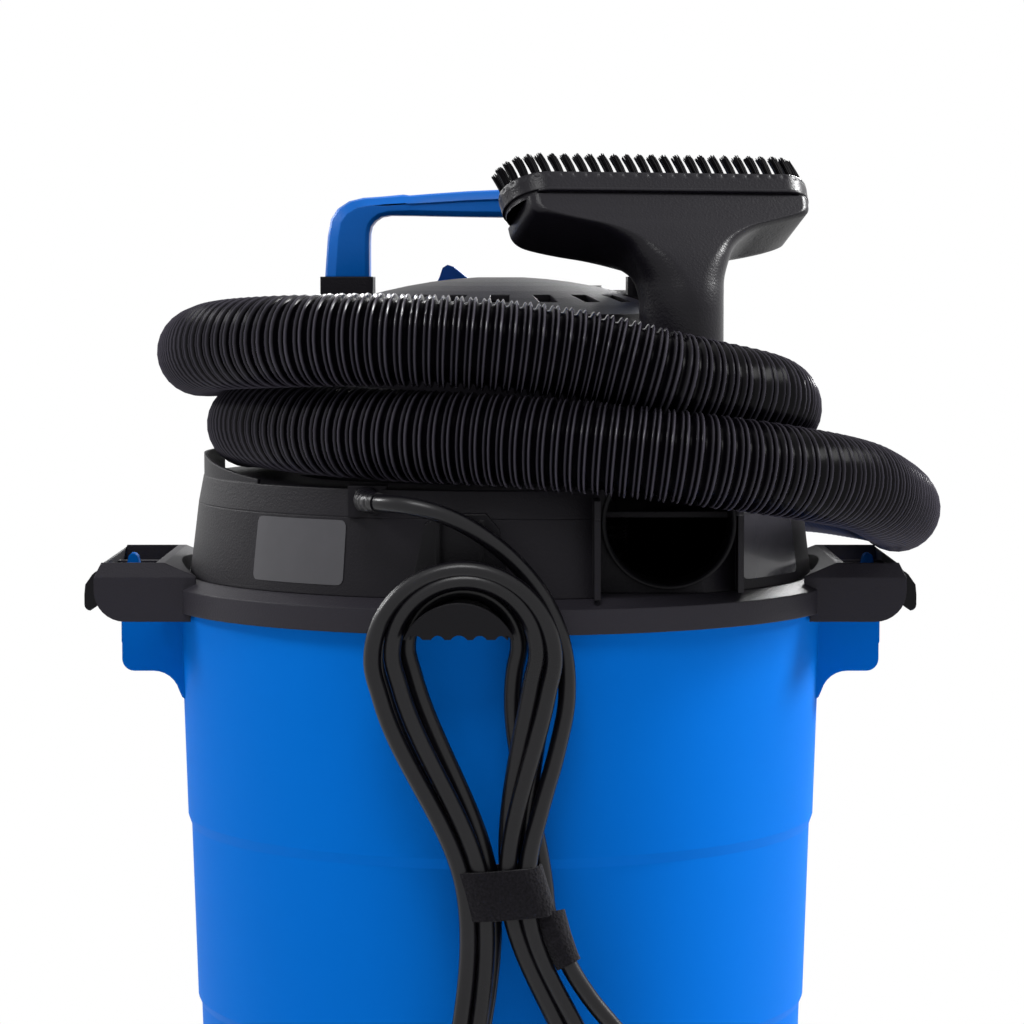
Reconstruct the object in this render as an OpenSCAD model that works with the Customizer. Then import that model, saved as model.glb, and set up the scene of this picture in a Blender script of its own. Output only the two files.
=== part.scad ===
// Wet and dry shop vacuum: a blow-moulded drum on four swivel casters, a power head that lifts off it,
// and the hose, utility nozzle and mains lead stored on the head.
// Millimetres. +Z is up, +Y is the inlet side, -Y the blower and lead side, the origin is on the floor.

/* [Drum] */
// Height of the drum from its underside to the rim
drum_h = 325; // [281:2:421]
// Outer radius of the drum at the rim
drum_r = 160; // [150:1:180]
// Wall thickness of the drum
drum_wall = 3; // [2:0.5:5]
// Radius lost on each side for each millimetre of height
drum_draft = 0.032; // [0.02:0.002:0.05]
// Depth of each of the two stacking steps in the wall
step_d = 1.6; // [0.8:0.2:3]
// Height of the lower step above the underside
step_low = 119; // [90:1:140]
// Height of the upper step above the underside
step_high = 209; // [170:1:230]
// Height of the box ear on the drum under each latch
drum_ear_h = 27; // [20:1:40]
// Width of the box ear on the drum
drum_ear_w = 56; // [40:2:56]

/* [Casters] */
// Diameter of a caster wheel
wheel_d = 38; // [30:1:50]
// Width of a caster wheel
wheel_w = 16; // [12:1:22]
// Distance between caster stems, across and along
caster_pitch = 172; // [140:2:180]
// Distance from the stem to the wheel axle
caster_trail = 13; // [8:1:20]
// Radius of the caster stem
stem_r = 5; // [4:0.5:6]
// Radius of the wheel axle
axle_r = 3; // [2:0.5:4]

/* [Lid] */
// How far the lid's skirt reaches beyond the drum rim
skirt_out = 5; // [4.5:0.5:8]
// Height of the skirt
skirt_h = 11.5; // [10:0.5:18]
// How far each lid ear reaches beyond the drum rim
ear_out = 37; // [34:1:46]
// Width of a lid ear across the pull
ear_w = 120; // [106:2:140]
// Height of a lid ear
ear_h = 28.5; // [24:0.5:34]
// Width of a latch lever
latch_w = 48; // [30:2:56]
// Radius of a latch pin
latch_pin_r = 2; // [1.5:0.25:3]

/* [Power head] */
// Radius of the lower housing at its foot
housing_r = 155; // [148:1:158]
// Height of the lower housing
housing_h = 36.5; // [32:0.5:44]
// Height of the hose tray
tray_h = 13; // [10:0.5:20]
// Height of the raised lip on the tray
lip_h = 11; // [4:1:20]
// Wall thickness of the head's mouldings
wall = 3; // [2:0.5:4]
// Radius of the motor cover
cover_r = 101; // [94:1:102]
// Height of the motor cover's wall
cover_h = 76; // [70:1:90]
// Rise of the crown above that wall
crown_h = 22; // [14:1:30]
// Number of cooling slots round the crown
vent_count = 20; // [12:1:24]
// Width of a cooling slot
vent_w = 9; // [5:0.5:11]

/* [Carry handle] */
// Height of the handle above the crown
handle_rise = 43; // [38:1:60]
// Half the length of the handle
handle_half = 87; // [80:1:90]
// Width of the handle
handle_w = 29; // [22:1:34]
// Thickness of the grip
grip_t = 13.5; // [10:0.5:18]

/* [Ports] */
// Bore radius of the blower port
blower_r = 29.2; // [24:0.2:29.4]
// Distance of the blower port from the centre line
blower_x = 78.7; // [74:0.1:82]
// Wall thickness of the blower port
blower_wall = 2.1; // [1.5:0.1:3]
// Bore radius of the inlet port
inlet_r = 21; // [17:0.5:21]
// Wall thickness of the inlet port
inlet_wall = 3.5; // [2:0.5:4]
// How far the inlet port reaches beyond the flange
inlet_reach = 26.5; // [20:0.5:34]
// Bend radius of the hose elbow
elbow_bend = 26; // [24:1:34]

/* [Motor] */
// Radius of the stator
stator_r = 42; // [36:1:44]
// Height of the stator
stator_h = 38; // [30:1:42]
// Radius of the motor shaft
shaft_r = 4; // [3:0.5:5]
// Radius of the impeller
impeller_r = 58; // [46:1:60]
// Number of impeller vanes
vane_count = 9; // [5:1:12]

/* [Filter] */
// Radius of the filter cage
cage_r = 47; // [40:1:50]
// Height of the filter cage
cage_h = 112; // [90:1:130]
// Outer radius of the cartridge filter
filter_r = 74; // [64:1:84]
// Number of pleats
pleats = 48; // [30:1:64]
// Radius of the float ball
ball_r = 24; // [18:1:28]

/* [Nozzle] */
// Outer radius of the nozzle's neck
neck_r = 20; // [18:0.5:20]
// Wall thickness of the nozzle
nozzle_wall = 2.5; // [2:0.25:3.5]
// Length of the nozzle's mouth
mouth_len = 158; // [120:2:180]
// Width of the nozzle's mouth
mouth_w = 36; // [32:1:44]
// Tilt of the mouth from the neck
mouth_tilt = 30; // [10:1:35]
// Corner radius of the nozzle's mouth
corner_r = 5; // [3:0.5:10]
// How far the mouth sets back from the neck
mouth_set = 26; // [0:1:30]
// Turn of the stored nozzle about its neck
nozzle_turn = 22; // [0:1:30]
// Height of the stored nozzle's mouth above the tray
nozzle_rise = 128; // [116:1:150]
// Height over which the neck flares into the mouth
flare_h = 50; // [44:1:60]
// Length of the bristles
bristle_len = 10; // [6:1:16]

/* [Hose and lead] */
// Outer diameter of the hose
hose_d = 43; // [36:1:43]
// Diameter of the mains lead
lead_d = 8.1; // [6:0.1:8.5]

/* [Hidden] */

$fn = 96;
blue = "#1166dd";
dark = "#37363b";
black = "#1d1c20";
steel = "#b9bcc0";
copper = "#b5713a";
paper = "#ece6d6";
e = 0.01;
gap = 0.3;             // between pieces that move past each other
fit = 0.05;            // round a pin or a shaft

// Heights that the drum and casters set
wheel_r = wheel_d / 2;
fork_t = 3;
pad_t = 3;
plate_gap = 1;
drum_z = wheel_d + 2 + fork_t + plate_gap + pad_t;
rim_in = 7;
rim_top = drum_z + drum_h;
rim_z = rim_top - rim_in;

// Heights up the head
gasket_t = 2.5;
plate_z = rim_top + gasket_t;
flange_r = max(drum_r + skirt_out, housing_r + skirt_out);
skirt_in = drum_r + 1.5;
deck_z = rim_z + skirt_h + 4;
deck_t = 3.5;
tray_z = deck_z + housing_h;
top_z = tray_z + tray_h;
cover_top = top_z + cover_h;
crown_top = cover_top + crown_h;
housing_top_r = housing_r - 4.5;
tray_top_r = housing_top_r - 2.5;
ear_z = rim_z - 4;
ear_top = ear_z + ear_h;
ear_x = drum_r + ear_out;

// Outline helpers
function arc(c, r, a, b, n) = [for (i = [0 : n]) let (t = a + (b - a) * i / n) c + r * [cos(t), sin(t)]];
function wall_x(h, low, high) = drum_r - drum_draft * (drum_h - rim_in - h) - step_d * (low + high);
function mix(a, b, t) = a + (b - a) * t;

// A closed skin through rings of equal numbers of points
module skin(rings) {
    n = len(rings[0]);
    m = len(rings);
    points = [for (r = rings) for (p = r) p];
    sides = [
        for (i = [0 : m - 2]) for (j = [0 : n - 1]) let (k = (j + 1) % n, a = i * n, b = a + n)
            for (f = [[a + j, b + j, b + k], [a + j, b + k, a + k]]) f
    ];
    first = [for (j = [0 : n - 1]) j];
    last = [for (j = [n - 1 : -1 : 0]) (m - 1) * n + j];
    polyhedron(points = points, faces = concat([first], sides, [last]));
}

// A round tube swept along a route
function unit(v) = v / norm(v);
function along(p, i) = unit(p[min(i + 1, len(p) - 1)] - p[max(i - 1, 0)]);
function side_of(t) = abs(t[2]) > 0.9 ? unit(cross([0, 1, 0], t)) : unit(cross([0, 0, 1], t));
function carried(p, i) = i == 0 ? side_of(along(p, 0)) :
    let (s = carried(p, i - 1), t = along(p, i)) unit(s - (s * t) * t);
module tube(p, d, n) {
    skin([for (i = [0 : len(p) - 1]) let (t = along(p, i), s = carried(p, i), u = cross(t, s))
        [for (j = [0 : n - 1]) p[i] + d / 2 * (cos(360 * j / n) * s + sin(360 * j / n) * u)]]);
}

module ring(r_out, r_in, h) {
    difference() {
        cylinder(r = r_out, h = h);
        translate([0, 0, -1]) cylinder(r = r_in, h = h + 2);
    }
}

module slab(x0, x1, y0, y1, z0, z1) {
    translate([x0, y0, z0]) cube([x1 - x0, y1 - y0, z1 - z0]);
}

module both_sides() {
    children();
    mirror([1, 0, 0]) children();
}

// ---- Drum ----
foot_r = 12;
sock_r = stem_r + 2.5;
sock_len = 24;
boss_r = sock_r + 5;
box_out = ear_x - 10;
box_top = ear_z - 0.5;
box_z = box_top - drum_ear_h;
catch_w = 8;
catch_x = box_out + 3;

function drum_outline(w) = concat(
    arc([wall_x(foot_r, 1, 1) - foot_r, foot_r], foot_r - w, -90, 0, 8),
    [[wall_x(step_low, 1, 1) - w, step_low], [wall_x(step_low + 4, 0, 1) - w, step_low + 4],
     [wall_x(step_high, 0, 1) - w, step_high], [wall_x(step_high + 5, 0, 0) - w, step_high + 5],
     [wall_x(drum_h - rim_in, 0, 0) - w, drum_h - rim_in]]);

module drum_shell() {
    rotate_extrude($fn = 144) polygon(concat([[0, 0]], drum_outline(0), [[drum_r, drum_h], [0, drum_h]]));
}

module drum_space() {
    rotate_extrude($fn = 144)
        polygon(concat([[0, drum_wall]], drum_outline(drum_wall),
            [[drum_r - drum_wall, drum_h + 1], [0, drum_h + 1]]));
}

// Profile across an ear box: a rounded outer corner and a sweep back to the wall below it
module drum_ear_solid() {
    sweep_r = 13;
    x0 = drum_r - 8;
    wall_at = drum_r - 1.5;
    rotate([90, 0, 0]) linear_extrude(drum_ear_w, center = true) polygon(concat(
        [[x0, box_top], [x0, box_z - sweep_r - 4], [wall_at - 1, box_z - sweep_r]],
        arc([wall_at + sweep_r, box_z - sweep_r], sweep_r, 165, 90, 6),
        arc([box_out - 6, box_z + 6], 6, -90, 0, 6),
        [[box_out, box_top]]));
}

module drum_catch() {
    rotate([90, 0, 0]) linear_extrude(catch_w, center = true) polygon(concat(
        [[box_out - 11, box_z + drum_wall - 1], [box_out - 1, box_z + drum_wall - 1], [catch_x, box_z + 12],
         [catch_x, box_top + 7]],
        arc([catch_x - 6, ear_top - 2], 2.4, 20, 160, 6),
        [[box_out - 11, box_top + 4]]));
}

module caster_places() {
    for (i = [0 : 3]) rotate([0, 0, 45 + 90 * i]) translate([caster_pitch / sqrt(2), 0, 0]) children();
}

module drum() {
    color(blue) {
        difference() {
            union() {
                translate([0, 0, drum_z]) drum_shell();
                both_sides() drum_ear_solid();
                caster_places() translate([0, 0, drum_z - pad_t]) cylinder(r = boss_r + 7, h = pad_t + e);
            }
            translate([0, 0, drum_z]) drum_space();
            both_sides() slab(drum_r + 1.5, box_out - drum_wall, -drum_ear_w / 2 + drum_wall,
                drum_ear_w / 2 - drum_wall, box_z + drum_wall, box_top + 1);
            caster_places() translate([0, 0, drum_z - pad_t - 1])
                cylinder(r = sock_r, h = pad_t + 2 + drum_wall);
        }
        both_sides() drum_catch();
        caster_places() translate([0, 0, drum_z - pad_t + e]) difference() {
            cylinder(r = boss_r, h = sock_len + drum_wall);
            translate([0, 0, -1]) cylinder(r = sock_r, h = sock_len + 1);
        }
    }
}

// ---- Casters ----
stem_len = 18;
fork_z = drum_z - pad_t - plate_gap - fork_t;
module caster_sockets() {
    color(dark) caster_places() translate([0, 0, drum_z - pad_t]) difference() {
        cylinder(r = sock_r, h = sock_len);
        translate([0, 0, -1]) cylinder(r = stem_r + fit, h = stem_len + 2);
    }
}

module at_caster(i) {
    rotate([0, 0, 45 + 90 * i]) translate([caster_pitch / sqrt(2), 0, 0])
        rotate([0, 0, 45 - 90 * i]) children();
}

module caster_fork() {
    cheek = 2.5;
    half = wheel_w / 2 + 0.8;
    hub_r = axle_r + 3.5;
    difference() {
        union() {
            translate([0, 0, fork_z]) cylinder(r = stem_r + 6, h = fork_t);
            for (s = [-1, 1]) translate([0, s * (half + cheek / 2), 0]) rotate([90, 0, 0])
                linear_extrude(cheek, center = true) polygon(concat(
                    arc([-caster_trail, wheel_r], hub_r, -170, 20, 12),
                    [[stem_r + 4, fork_z + fork_t - 2], [stem_r + 4, fork_z + fork_t],
                     [-caster_trail - 2, fork_z + fork_t], [-caster_trail - hub_r - 1, fork_z - 6]]));
            slab(-caster_trail - 2, stem_r + 4, -half - cheek, half + cheek, fork_z, fork_z + fork_t);
            slab(stem_r + 1, stem_r + 4, -half - cheek / 2, half + cheek / 2, fork_z - 5, fork_z + e);
        }
        translate([0, 0, fork_z - 1]) cylinder(r = stem_r, h = fork_t + 2);
        translate([-caster_trail, 0, wheel_r]) rotate([90, 0, 0])
            cylinder(r = axle_r, h = wheel_w + 20, center = true);
        slab(stem_r + 1, stem_r + 6, -half, half, 0, wheel_r + 8);
    }
}

module caster_wheel() {
    tread = 3;
    half = wheel_w / 2;
    dish = 3;
    face = [[axle_r + 3, half], [axle_r + 4, half - dish], [wheel_r - tread - dish, half - dish],
        [wheel_r - tread - 1.5, half]];
    translate([-caster_trail, 0, wheel_r]) rotate([90, 0, 0]) rotate_extrude($fn = 72) polygon(concat(
        [[axle_r + fit, -half]], [for (p = face) [p[0], -p[1]]],
        arc([wheel_r - tread, -half + tread], tread, -90, 0, 5),
        arc([wheel_r - tread, half - tread], tread, 0, 90, 5),
        reversed(face), [[axle_r + fit, half]]));
}

module caster_pins() {
    translate([0, 0, fork_z]) cylinder(r = stem_r, h = stem_len + fork_t + plate_gap);
    translate([-caster_trail, 0, wheel_r]) rotate([90, 0, 0])
        cylinder(r = axle_r, h = wheel_w + 7, center = true);
}

// ---- Lid ----
cage_flange = cage_r + 5;
hole_r = cage_r - 6;
collar_h = 6;
pin_x = ear_x + 0.5;
pin_z = ear_z + 16;
barrel_r = latch_pin_r + 4;
cheek_y = latch_w / 2 + 0.5;
cheek_t = 4;

module lid_ear_block() {
    bevel = 7;
    belly = 15;
    x0 = drum_r - 14;
    intersection() {
        rotate([90, 0, 0]) linear_extrude(ear_w, center = true) polygon(concat(
            [[x0, ear_top - 7], [x0, ear_z]],
            arc([ear_x - belly, ear_z + belly], belly, -90, 0, 8),
            [[ear_x, ear_top - bevel], [ear_x - bevel / 2, ear_top], [drum_r + 3, ear_top]]));
        translate([x0, 0, 0]) rotate([90, 0, 90]) linear_extrude(ear_x - x0 + 1) polygon([
            [-ear_w / 2, ear_z], [ear_w / 2, ear_z], [ear_w / 2, ear_top - bevel], [ear_w / 2 - 3, ear_top],
            [-ear_w / 2 + 3, ear_top], [-ear_w / 2, ear_top - bevel]]);
    }
}

module lid_ear() {
    slot_in = drum_r + 7;
    end_t = 4;
    difference() {
        lid_ear_block();
        translate([0, 0, ear_z - 1]) cylinder(r = skirt_in, h = plate_z - ear_z + 1, $fn = 144);
        slab(slot_in, ear_x - wall, -ear_w / 2 + end_t, ear_w / 2 - end_t, ear_z - 1, ear_top + 1);
        slab(ear_x - wall - 1, ear_x + 1, -cheek_y, cheek_y, ear_z - 1, pin_z + barrel_r + 1);
    }
    for (y = [-cheek_y - cheek_t, cheek_y]) difference() {
        slab(slot_in - 1, ear_x - 1, y, y + cheek_t, ear_z + 4, pin_z + barrel_r + 1);
        translate([pin_x, 0, pin_z]) rotate([90, 0, 0]) cylinder(r = latch_pin_r, h = ear_w, center = true);
    }
}

module lid() {
    spigot_r = drum_r - drum_wall - 3;
    spigot_h = 12;
    color(dark) difference() {
        union() {
            rotate_extrude($fn = 144) polygon([
                [hole_r, deck_z - deck_t], [spigot_r - 9, deck_z - deck_t], [spigot_r - 3, plate_z - spigot_h],
                [spigot_r, plate_z - spigot_h], [spigot_r, plate_z], [skirt_in, plate_z],
                [skirt_in, rim_z], [flange_r, rim_z], [flange_r, rim_z + skirt_h],
                [housing_r + 1.5, deck_z], [hole_r, deck_z]]);
            both_sides() difference() {
                lid_ear();
                cylinder(r = drum_r - 1, h = crown_top);
            }
            translate([0, 0, deck_z - deck_t - collar_h])
                ring(cage_flange + 4, cage_flange + fit, collar_h + e);
        }
        both_sides() translate([pin_x, 0, pin_z]) rotate([90, 0, 0])
            cylinder(r = latch_pin_r, h = latch_w + 2 * cheek_t + 1, center = true);
    }
}

module lid_gasket() {
    color(black) translate([0, 0, rim_top]) ring(drum_r - e, drum_r - drum_wall - 2.9, gasket_t, $fn = 144);
}

module latch() {
    lip_x = ear_x + 9;
    translate([0, latch_w / 2, 0]) rotate([90, 0, 0]) difference() {
        linear_extrude(latch_w) polygon(concat(
            arc([pin_x, pin_z], barrel_r, 200, 40, 10),
            [[lip_x - 3, pin_z + 2.5], [lip_x - 0.5, pin_z - 1], [lip_x, pin_z - 6]],
            arc([lip_x - 3, ear_z + 5], 3, 0, -90, 4),
            [[lip_x - 6, ear_z + 4], [pin_x - 2, ear_z + 7.5], [catch_x + gap + 1, ear_z + 2],
             [catch_x + gap, ear_z + 3], [catch_x + gap, ear_z + 7.5], [pin_x - barrel_r, pin_z - 3]]));
        translate([pin_x, pin_z, -1]) cylinder(r = latch_pin_r + fit, h = latch_w + 2);
    }
}

module latch_pins() {
    color(steel) both_sides() translate([pin_x, 0, pin_z]) rotate([90, 0, 0])
        cylinder(r = latch_pin_r, h = latch_w + 2 * cheek_t + 1, center = true);
}

// ---- Housing and tray ----
blower_out = blower_r + blower_wall;
port_z = deck_z + blower_out + 2.2;
rim_y = 24.5 - housing_top_r;
tube_len = 32;
rib_t = 3;
rib_l = blower_x - blower_out - 1.2;
rib_rt = blower_x + blower_out + 1.2;
rib_back = max(rim_y + 30, -sqrt(pow(housing_top_r, 2) - pow(rib_rt + rib_t, 2)));
inlet_out = inlet_r + inlet_wall;
inlet_z = deck_z + inlet_out + 0.5;
elbow_y = flange_r + inlet_reach;
inlet_len = elbow_y - housing_top_r;
fan_r = impeller_r + 6;
fan_h = housing_h - 3 - 2 * gasket_t;
motor_hole = fan_r - 6;
cover_hole = cover_r - 9;
hook_x = -18;
hook_w = 44;

module recess(z0, z1) {
    slab(rib_l, rib_rt, -flange_r, rim_y + 4, z0, z1);
}

// The two ribs beside the blower recess run out to the edge of the flange
module recess_ribs(z0, z1) {
    intersection() {
        translate([0, 0, z0]) cylinder(r = flange_r - 1.5, h = z1 - z0, $fn = 144);
        union() {
            slab(rib_l - rib_t, rib_l, -flange_r, rim_y + 6, z0, z1);
            slab(rib_rt, rib_rt + rib_t, -flange_r, rib_back, z0, z1);
        }
    }
}

module band(r0, r1, z0, z1) {
    translate([0, 0, z0]) cylinder(r1 = r0, r2 = r1, h = z1 - z0, $fn = 144);
}

module lower_housing() {
    color(dark) difference() {
        union() {
            difference() {
                band(housing_r, housing_top_r, deck_z, tray_z);
                difference() {
                    band(housing_r - wall, housing_top_r - wall, deck_z - 1, tray_z - wall);
                    slab(rib_l - rib_t, rib_rt + rib_t, -flange_r, rim_y + 4 + wall, deck_z - 2, tray_z);
                }
                recess(deck_z - 2, tray_z + 1);
                translate([0, 0, tray_z - wall - 1]) cylinder(r = motor_hole, h = wall + 2);
            }
            recess_ribs(deck_z, tray_z);
            intersection() {
                slab(-inlet_out - 6, inlet_out + 6, housing_top_r - 16, housing_r + 8, deck_z, tray_z);
                translate([0, 0, deck_z]) cylinder(r = housing_r + 6, h = housing_h, $fn = 144);
            }
        }
        blower_hole();
        inlet_hole();
    }
}

module inlet_hole() {
    translate([0, housing_top_r - 20, inlet_z]) rotate([-90, 0, 0]) cylinder(r = inlet_out, h = 60);
}

module blower_hole() {
    translate([blower_x, rim_y - 1, port_z]) rotate([-90, 0, 0]) cylinder(r = blower_out, h = tube_len + 1);
}

module blower_port() {
    color(black) translate([blower_x, rim_y, port_z]) rotate([-90, 0, 0]) difference() {
        union() {
            cylinder(r = blower_out, h = tube_len);
            translate([0, 0, tube_len - 3]) cylinder(r = blower_out, h = 3);
        }
        translate([0, 0, -1]) cylinder(r = blower_r, h = tube_len + 2);
        translate([0, 0, -0.5]) cylinder(r1 = blower_r + 1.5, r2 = blower_r, h = 1.5);
    }
}

module inlet_port() {
    back = 20;
    bead = 6;
    color(dark) translate([0, housing_top_r, inlet_z]) rotate([-90, 0, 0]) difference() {
        union() {
            translate([0, 0, -back]) cylinder(r = inlet_out, h = inlet_len + back);
            translate([0, 0, inlet_len - bead]) cylinder(r = inlet_out + 1.5, h = bead);
        }
        translate([0, 0, -back - 1]) cylinder(r = inlet_r, h = inlet_len + back + 2);
    }
}

// The raised lip along the left of the tray, which falls away towards the lead
module tray_lip() {
    fall = 16;
    lip_t = 1.8;
    far = tray_top_r + 5;
    intersection() {
        translate([0, 0, top_z - 1]) rotate([0, 0, 165]) rotate_extrude(angle = 54, $fn = 144)
            translate([tray_top_r - 0.2 - lip_t, 0]) square([lip_t, lip_h + 1]);
        translate([-far, 0, 0]) rotate([90, 0, 90]) linear_extrude(far) polygon([
            [far, top_z - fall], [far, top_z + lip_h + 1], [-10, top_z + lip_h + 1],
            [-far, top_z + lip_h - fall], [-far, top_z - 2 * fall]]);
    }
}

post_x = 86;
post_y = -88;
post_r = neck_r - nozzle_wall - gap;
post_z = port_z + blower_out + wall;
module hose_tray() {
    pad_r = neck_r + 4;
    color(dark) difference() {
        union() {
            difference() {
                band(housing_top_r, tray_top_r, tray_z, top_z);
                difference() {
                    band(housing_top_r - wall, tray_top_r - wall, tray_z - 1, top_z - wall);
                    slab(rib_l - rib_t, rib_rt + rib_t, -flange_r, rim_y + 4 + wall, tray_z - 2, top_z);
                }
                translate([0, 0, top_z - wall - 1]) cylinder(r = cover_hole, h = wall + 2);
                recess(tray_z - 2, top_z + 1);
            }
            recess_ribs(tray_z, top_z - 4);
            tray_lip();
            slab(gland_x - 9, gland_x + 9, gland_y - 6, gland_y + 8, tray_z, gland_z + gland_r + 0.6);
            difference() {
                slab(rib_l, rib_rt, rim_y + 1, rim_y + tube_len, tray_z, post_z - 2);
                translate([0, 0, tray_z - 1]) cylinder(r = cover_r + 1, h = 60);
            }
            translate([post_x, post_y, top_z - wall]) intersection() {
                cylinder(r = pad_r, h = post_z - top_z + wall);
                translate([-post_x, -post_y, 0]) difference() {
                    cylinder(r = tray_top_r + 6, h = 60);
                    translate([0, 0, -1]) cylinder(r = cover_r + 0.5, h = 62);
                }
            }
            translate([post_x, post_y, post_z - e]) cylinder(r = post_r, h = 26);
            translate([post_x, post_y, post_z + 26 - 2 * e]) cylinder(r1 = post_r, r2 = post_r - 3, h = 4);
        }
        blower_hole();
        gland_hole();
        inlet_hole();
    }
}

// ---- Motor cover and handle ----
crown_r = cover_r - 9;
leg_in = handle_half - 22;
leg_x = (leg_in + handle_half) / 2;
handle_z = crown_top;
function crown_at(r) = cover_top + 4 + (crown_h - 4) * (1 - pow(r / crown_r, 2));

module cover_form(inset) {
    translate([0, 0, top_z]) rotate_extrude($fn = 120) polygon(concat(
        [[0, -inset], [cover_r - inset, -inset], [cover_r - inset, 4], [cover_r - 4 - inset, cover_h - 8]],
        arc([cover_r - 12, cover_h - 8], 8 - inset, 0, 60, 6),
        [for (i = [0 : 7]) let (r = crown_r * (1 - i / 8)) [r, crown_at(r) - top_z - inset]],
        [[0, crown_at(crown_r / 8) - top_z - inset]]));
}

module switch_place() {
    translate([-18, 45, crown_at(48) - 3]) children();
}

module motor_cover() {
    color(dark) difference() {
        union() {
            difference() {
                cover_form(0);
                cover_form(wall);
            }
            translate([0, 0, top_z]) ring(cover_r, cover_hole, wall);
            both_sides() difference() {
                slab(leg_in - 2, handle_half + 2, -handle_w / 2 - 2, handle_w / 2 + 2,
                    cover_top - 2, handle_z);
                translate([0, 0, -wall]) cover_form(wall);
            }
        }
        for (i = [0 : vent_count - 1]) rotate([0, 0, 360 * (i + 0.5) / vent_count - 90 - 9])
            vent_slot();
        switch_place() slab(-17, 17, -17, 17, -30, 20);
        both_sides() translate([leg_x, 0, cover_top - 10]) cylinder(r = 3, h = crown_h + 12);
    }
}

module vent_slot() {
    r0 = 64;
    translate([r0, 0, crown_at(r0) - 12]) slab(0, 12, -vent_w / 2, vent_w / 2, 0, 40);
}

module handle_side(w) {
    half = concat(
        [[leg_in, 0], [leg_in, 18]],
        arc([leg_in - 10, handle_rise - grip_t - 18 + 10], 10, 0, 80, 5),
        [[0, handle_rise - grip_t]]);
    outer = concat(
        [[0, handle_rise]],
        [[handle_half - 28, handle_rise - 4]],
        arc([handle_half - 16, handle_rise - 20], 15, 80, 15, 5),
        [[handle_half, 0]]);
    rotate([90, 0, 0]) linear_extrude(w, center = true) polygon(concat(outer, half, [[0, handle_rise]]));
}

finger_r = 11.5;        // of the two finger rolls under the grip
finger_in = 26;

module carry_handle() {
    color(blue) translate([0, 0, handle_z]) both_sides() difference() {
        handle_side(handle_w);
        for (s = [-1, 1]) translate([0, s * (handle_w / 2 + 10), handle_rise - grip_t / 2 - 1.5])
            rotate([0, 86.5, 0]) cylinder(r = finger_r, h = handle_half - finger_in, $fn = 48);
        translate([leg_x, 0, -1]) cylinder(r = 2, h = 14);
    }
}

screw_bite = 16;

module housing_screws() {
    color(steel) {
        both_sides() translate([leg_x, 0, cover_top - 4]) cylinder(r = 2, h = crown_h + screw_bite);
        both_sides() translate([leg_x, 0, cover_top - 7]) cylinder(r = 3, h = 3 + e);
    }
}

// ---- Lead hook and gland ----
peg_r = 24.5;
peg_drop = 14;                  // height of the peg under its crown
peg_out = 26.5;
peg_z = rim_z + 1 + peg_drop - peg_r;
hank_gap = 5;                   // from the flange to the hank

// A bracket on the housing carries an arm over the flange, and the arm a fluted half-round peg
module cord_hook() {
    arm_t = 3;
    lip_t = 3;
    rib_w = 2;
    left = hook_x - hook_w / 2;
    right = hook_x + hook_w / 2;
    root = -flange_r - 0.1;
    near = -flange_r - hank_gap + gap;
    low = deck_z + e;
    color(black) difference() {
        union() {
            intersection() {
                translate([0, -flange_r, 0]) rotate([90, 0, 0]) mirror([0, 0, 1]) linear_extrude(30) polygon([
                    [left - 2, low], [left + 6, tray_z - 2], [left + 14, tray_z + 3],
                    [right - 10, tray_z + 3], [right - 4, tray_z - 4], [right + 2, low]]);
                translate([0, 0, deck_z]) cylinder(r = housing_r + 4, h = 60, $fn = 144);
            }
            for (x = [left + 12, right - 12])
                slab(x - rib_w / 2, x + rib_w / 2, -housing_r - 6, -housing_r + 6, low, tray_z);
            slab(left, right, near, -housing_r + 4, low, deck_z + arm_t);
            slab(hook_x - 15, hook_x + 15, near, root, peg_z + peg_r - 8, deck_z + arm_t);
            translate([hook_x, root, peg_z]) rotate([90, 0, 0]) linear_extrude(peg_out - 0.2) peg_section(0);
            translate([hook_x, lip_t - flange_r - peg_out, peg_z]) rotate([90, 0, 0]) linear_extrude(lip_t)
                peg_section(2.5);
        }
        band(housing_r + e, housing_top_r + e, deck_z, tray_z);
        translate([0, 0, tray_z - e]) cylinder(r = housing_top_r + e, h = 80, $fn = 144);
    }
}

// The crown of a circle, with five flutes along its flat underside
module peg_section(grow) {
    r = peg_r + grow;
    low = peg_r - peg_drop;
    half = sqrt(r * r - low * low);
    flutes = 5;
    difference() {
        polygon(arc([0, 0], r, asin(low / r), 180 - asin(low / r), 20));
        for (i = [0 : flutes - 1]) translate([half * (2 * (i + 0.5) / flutes - 1), low - 2.2])
            circle(r = 4.2, $fn = 32);
    }
}

gland_x = -61;
gland_r = lead_d / 2 + 1.6;
gland_z = tray_z + 8.5;
gland_y = -sqrt(pow(housing_top_r - 2, 2) - pow(gland_x, 2)) + 4;
gland_in = 6;
gland_out = 8;
gland_tip = 3;
module at_gland() {
    translate([gland_x, gland_y + gland_in, gland_z]) rotate([90, 0, 0]) children();
}
module gland_hole() {
    at_gland() translate([0, 0, -e]) cylinder(r = gland_r, h = gland_in + 20);
}
module lead_gland() {
    color(black) at_gland() {
        cylinder(r = gland_r, h = gland_in + gland_out);
        translate([0, 0, gland_in + gland_out - e])
            cylinder(r1 = gland_r, r2 = lead_d / 2 + 0.7, h = gland_tip);
    }
}

// ---- Switch ----
module switch_body() {
    color(black) switch_place() difference() {
        slab(-17, 17, -17, 17, -16, 3.5);
        slab(-15.6, 15.6, -14.5, 14.5, -9, 10);
        rotate([90, 0, 0]) cylinder(r = 1.6 + fit, h = 32, center = true);
    }
}

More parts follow.
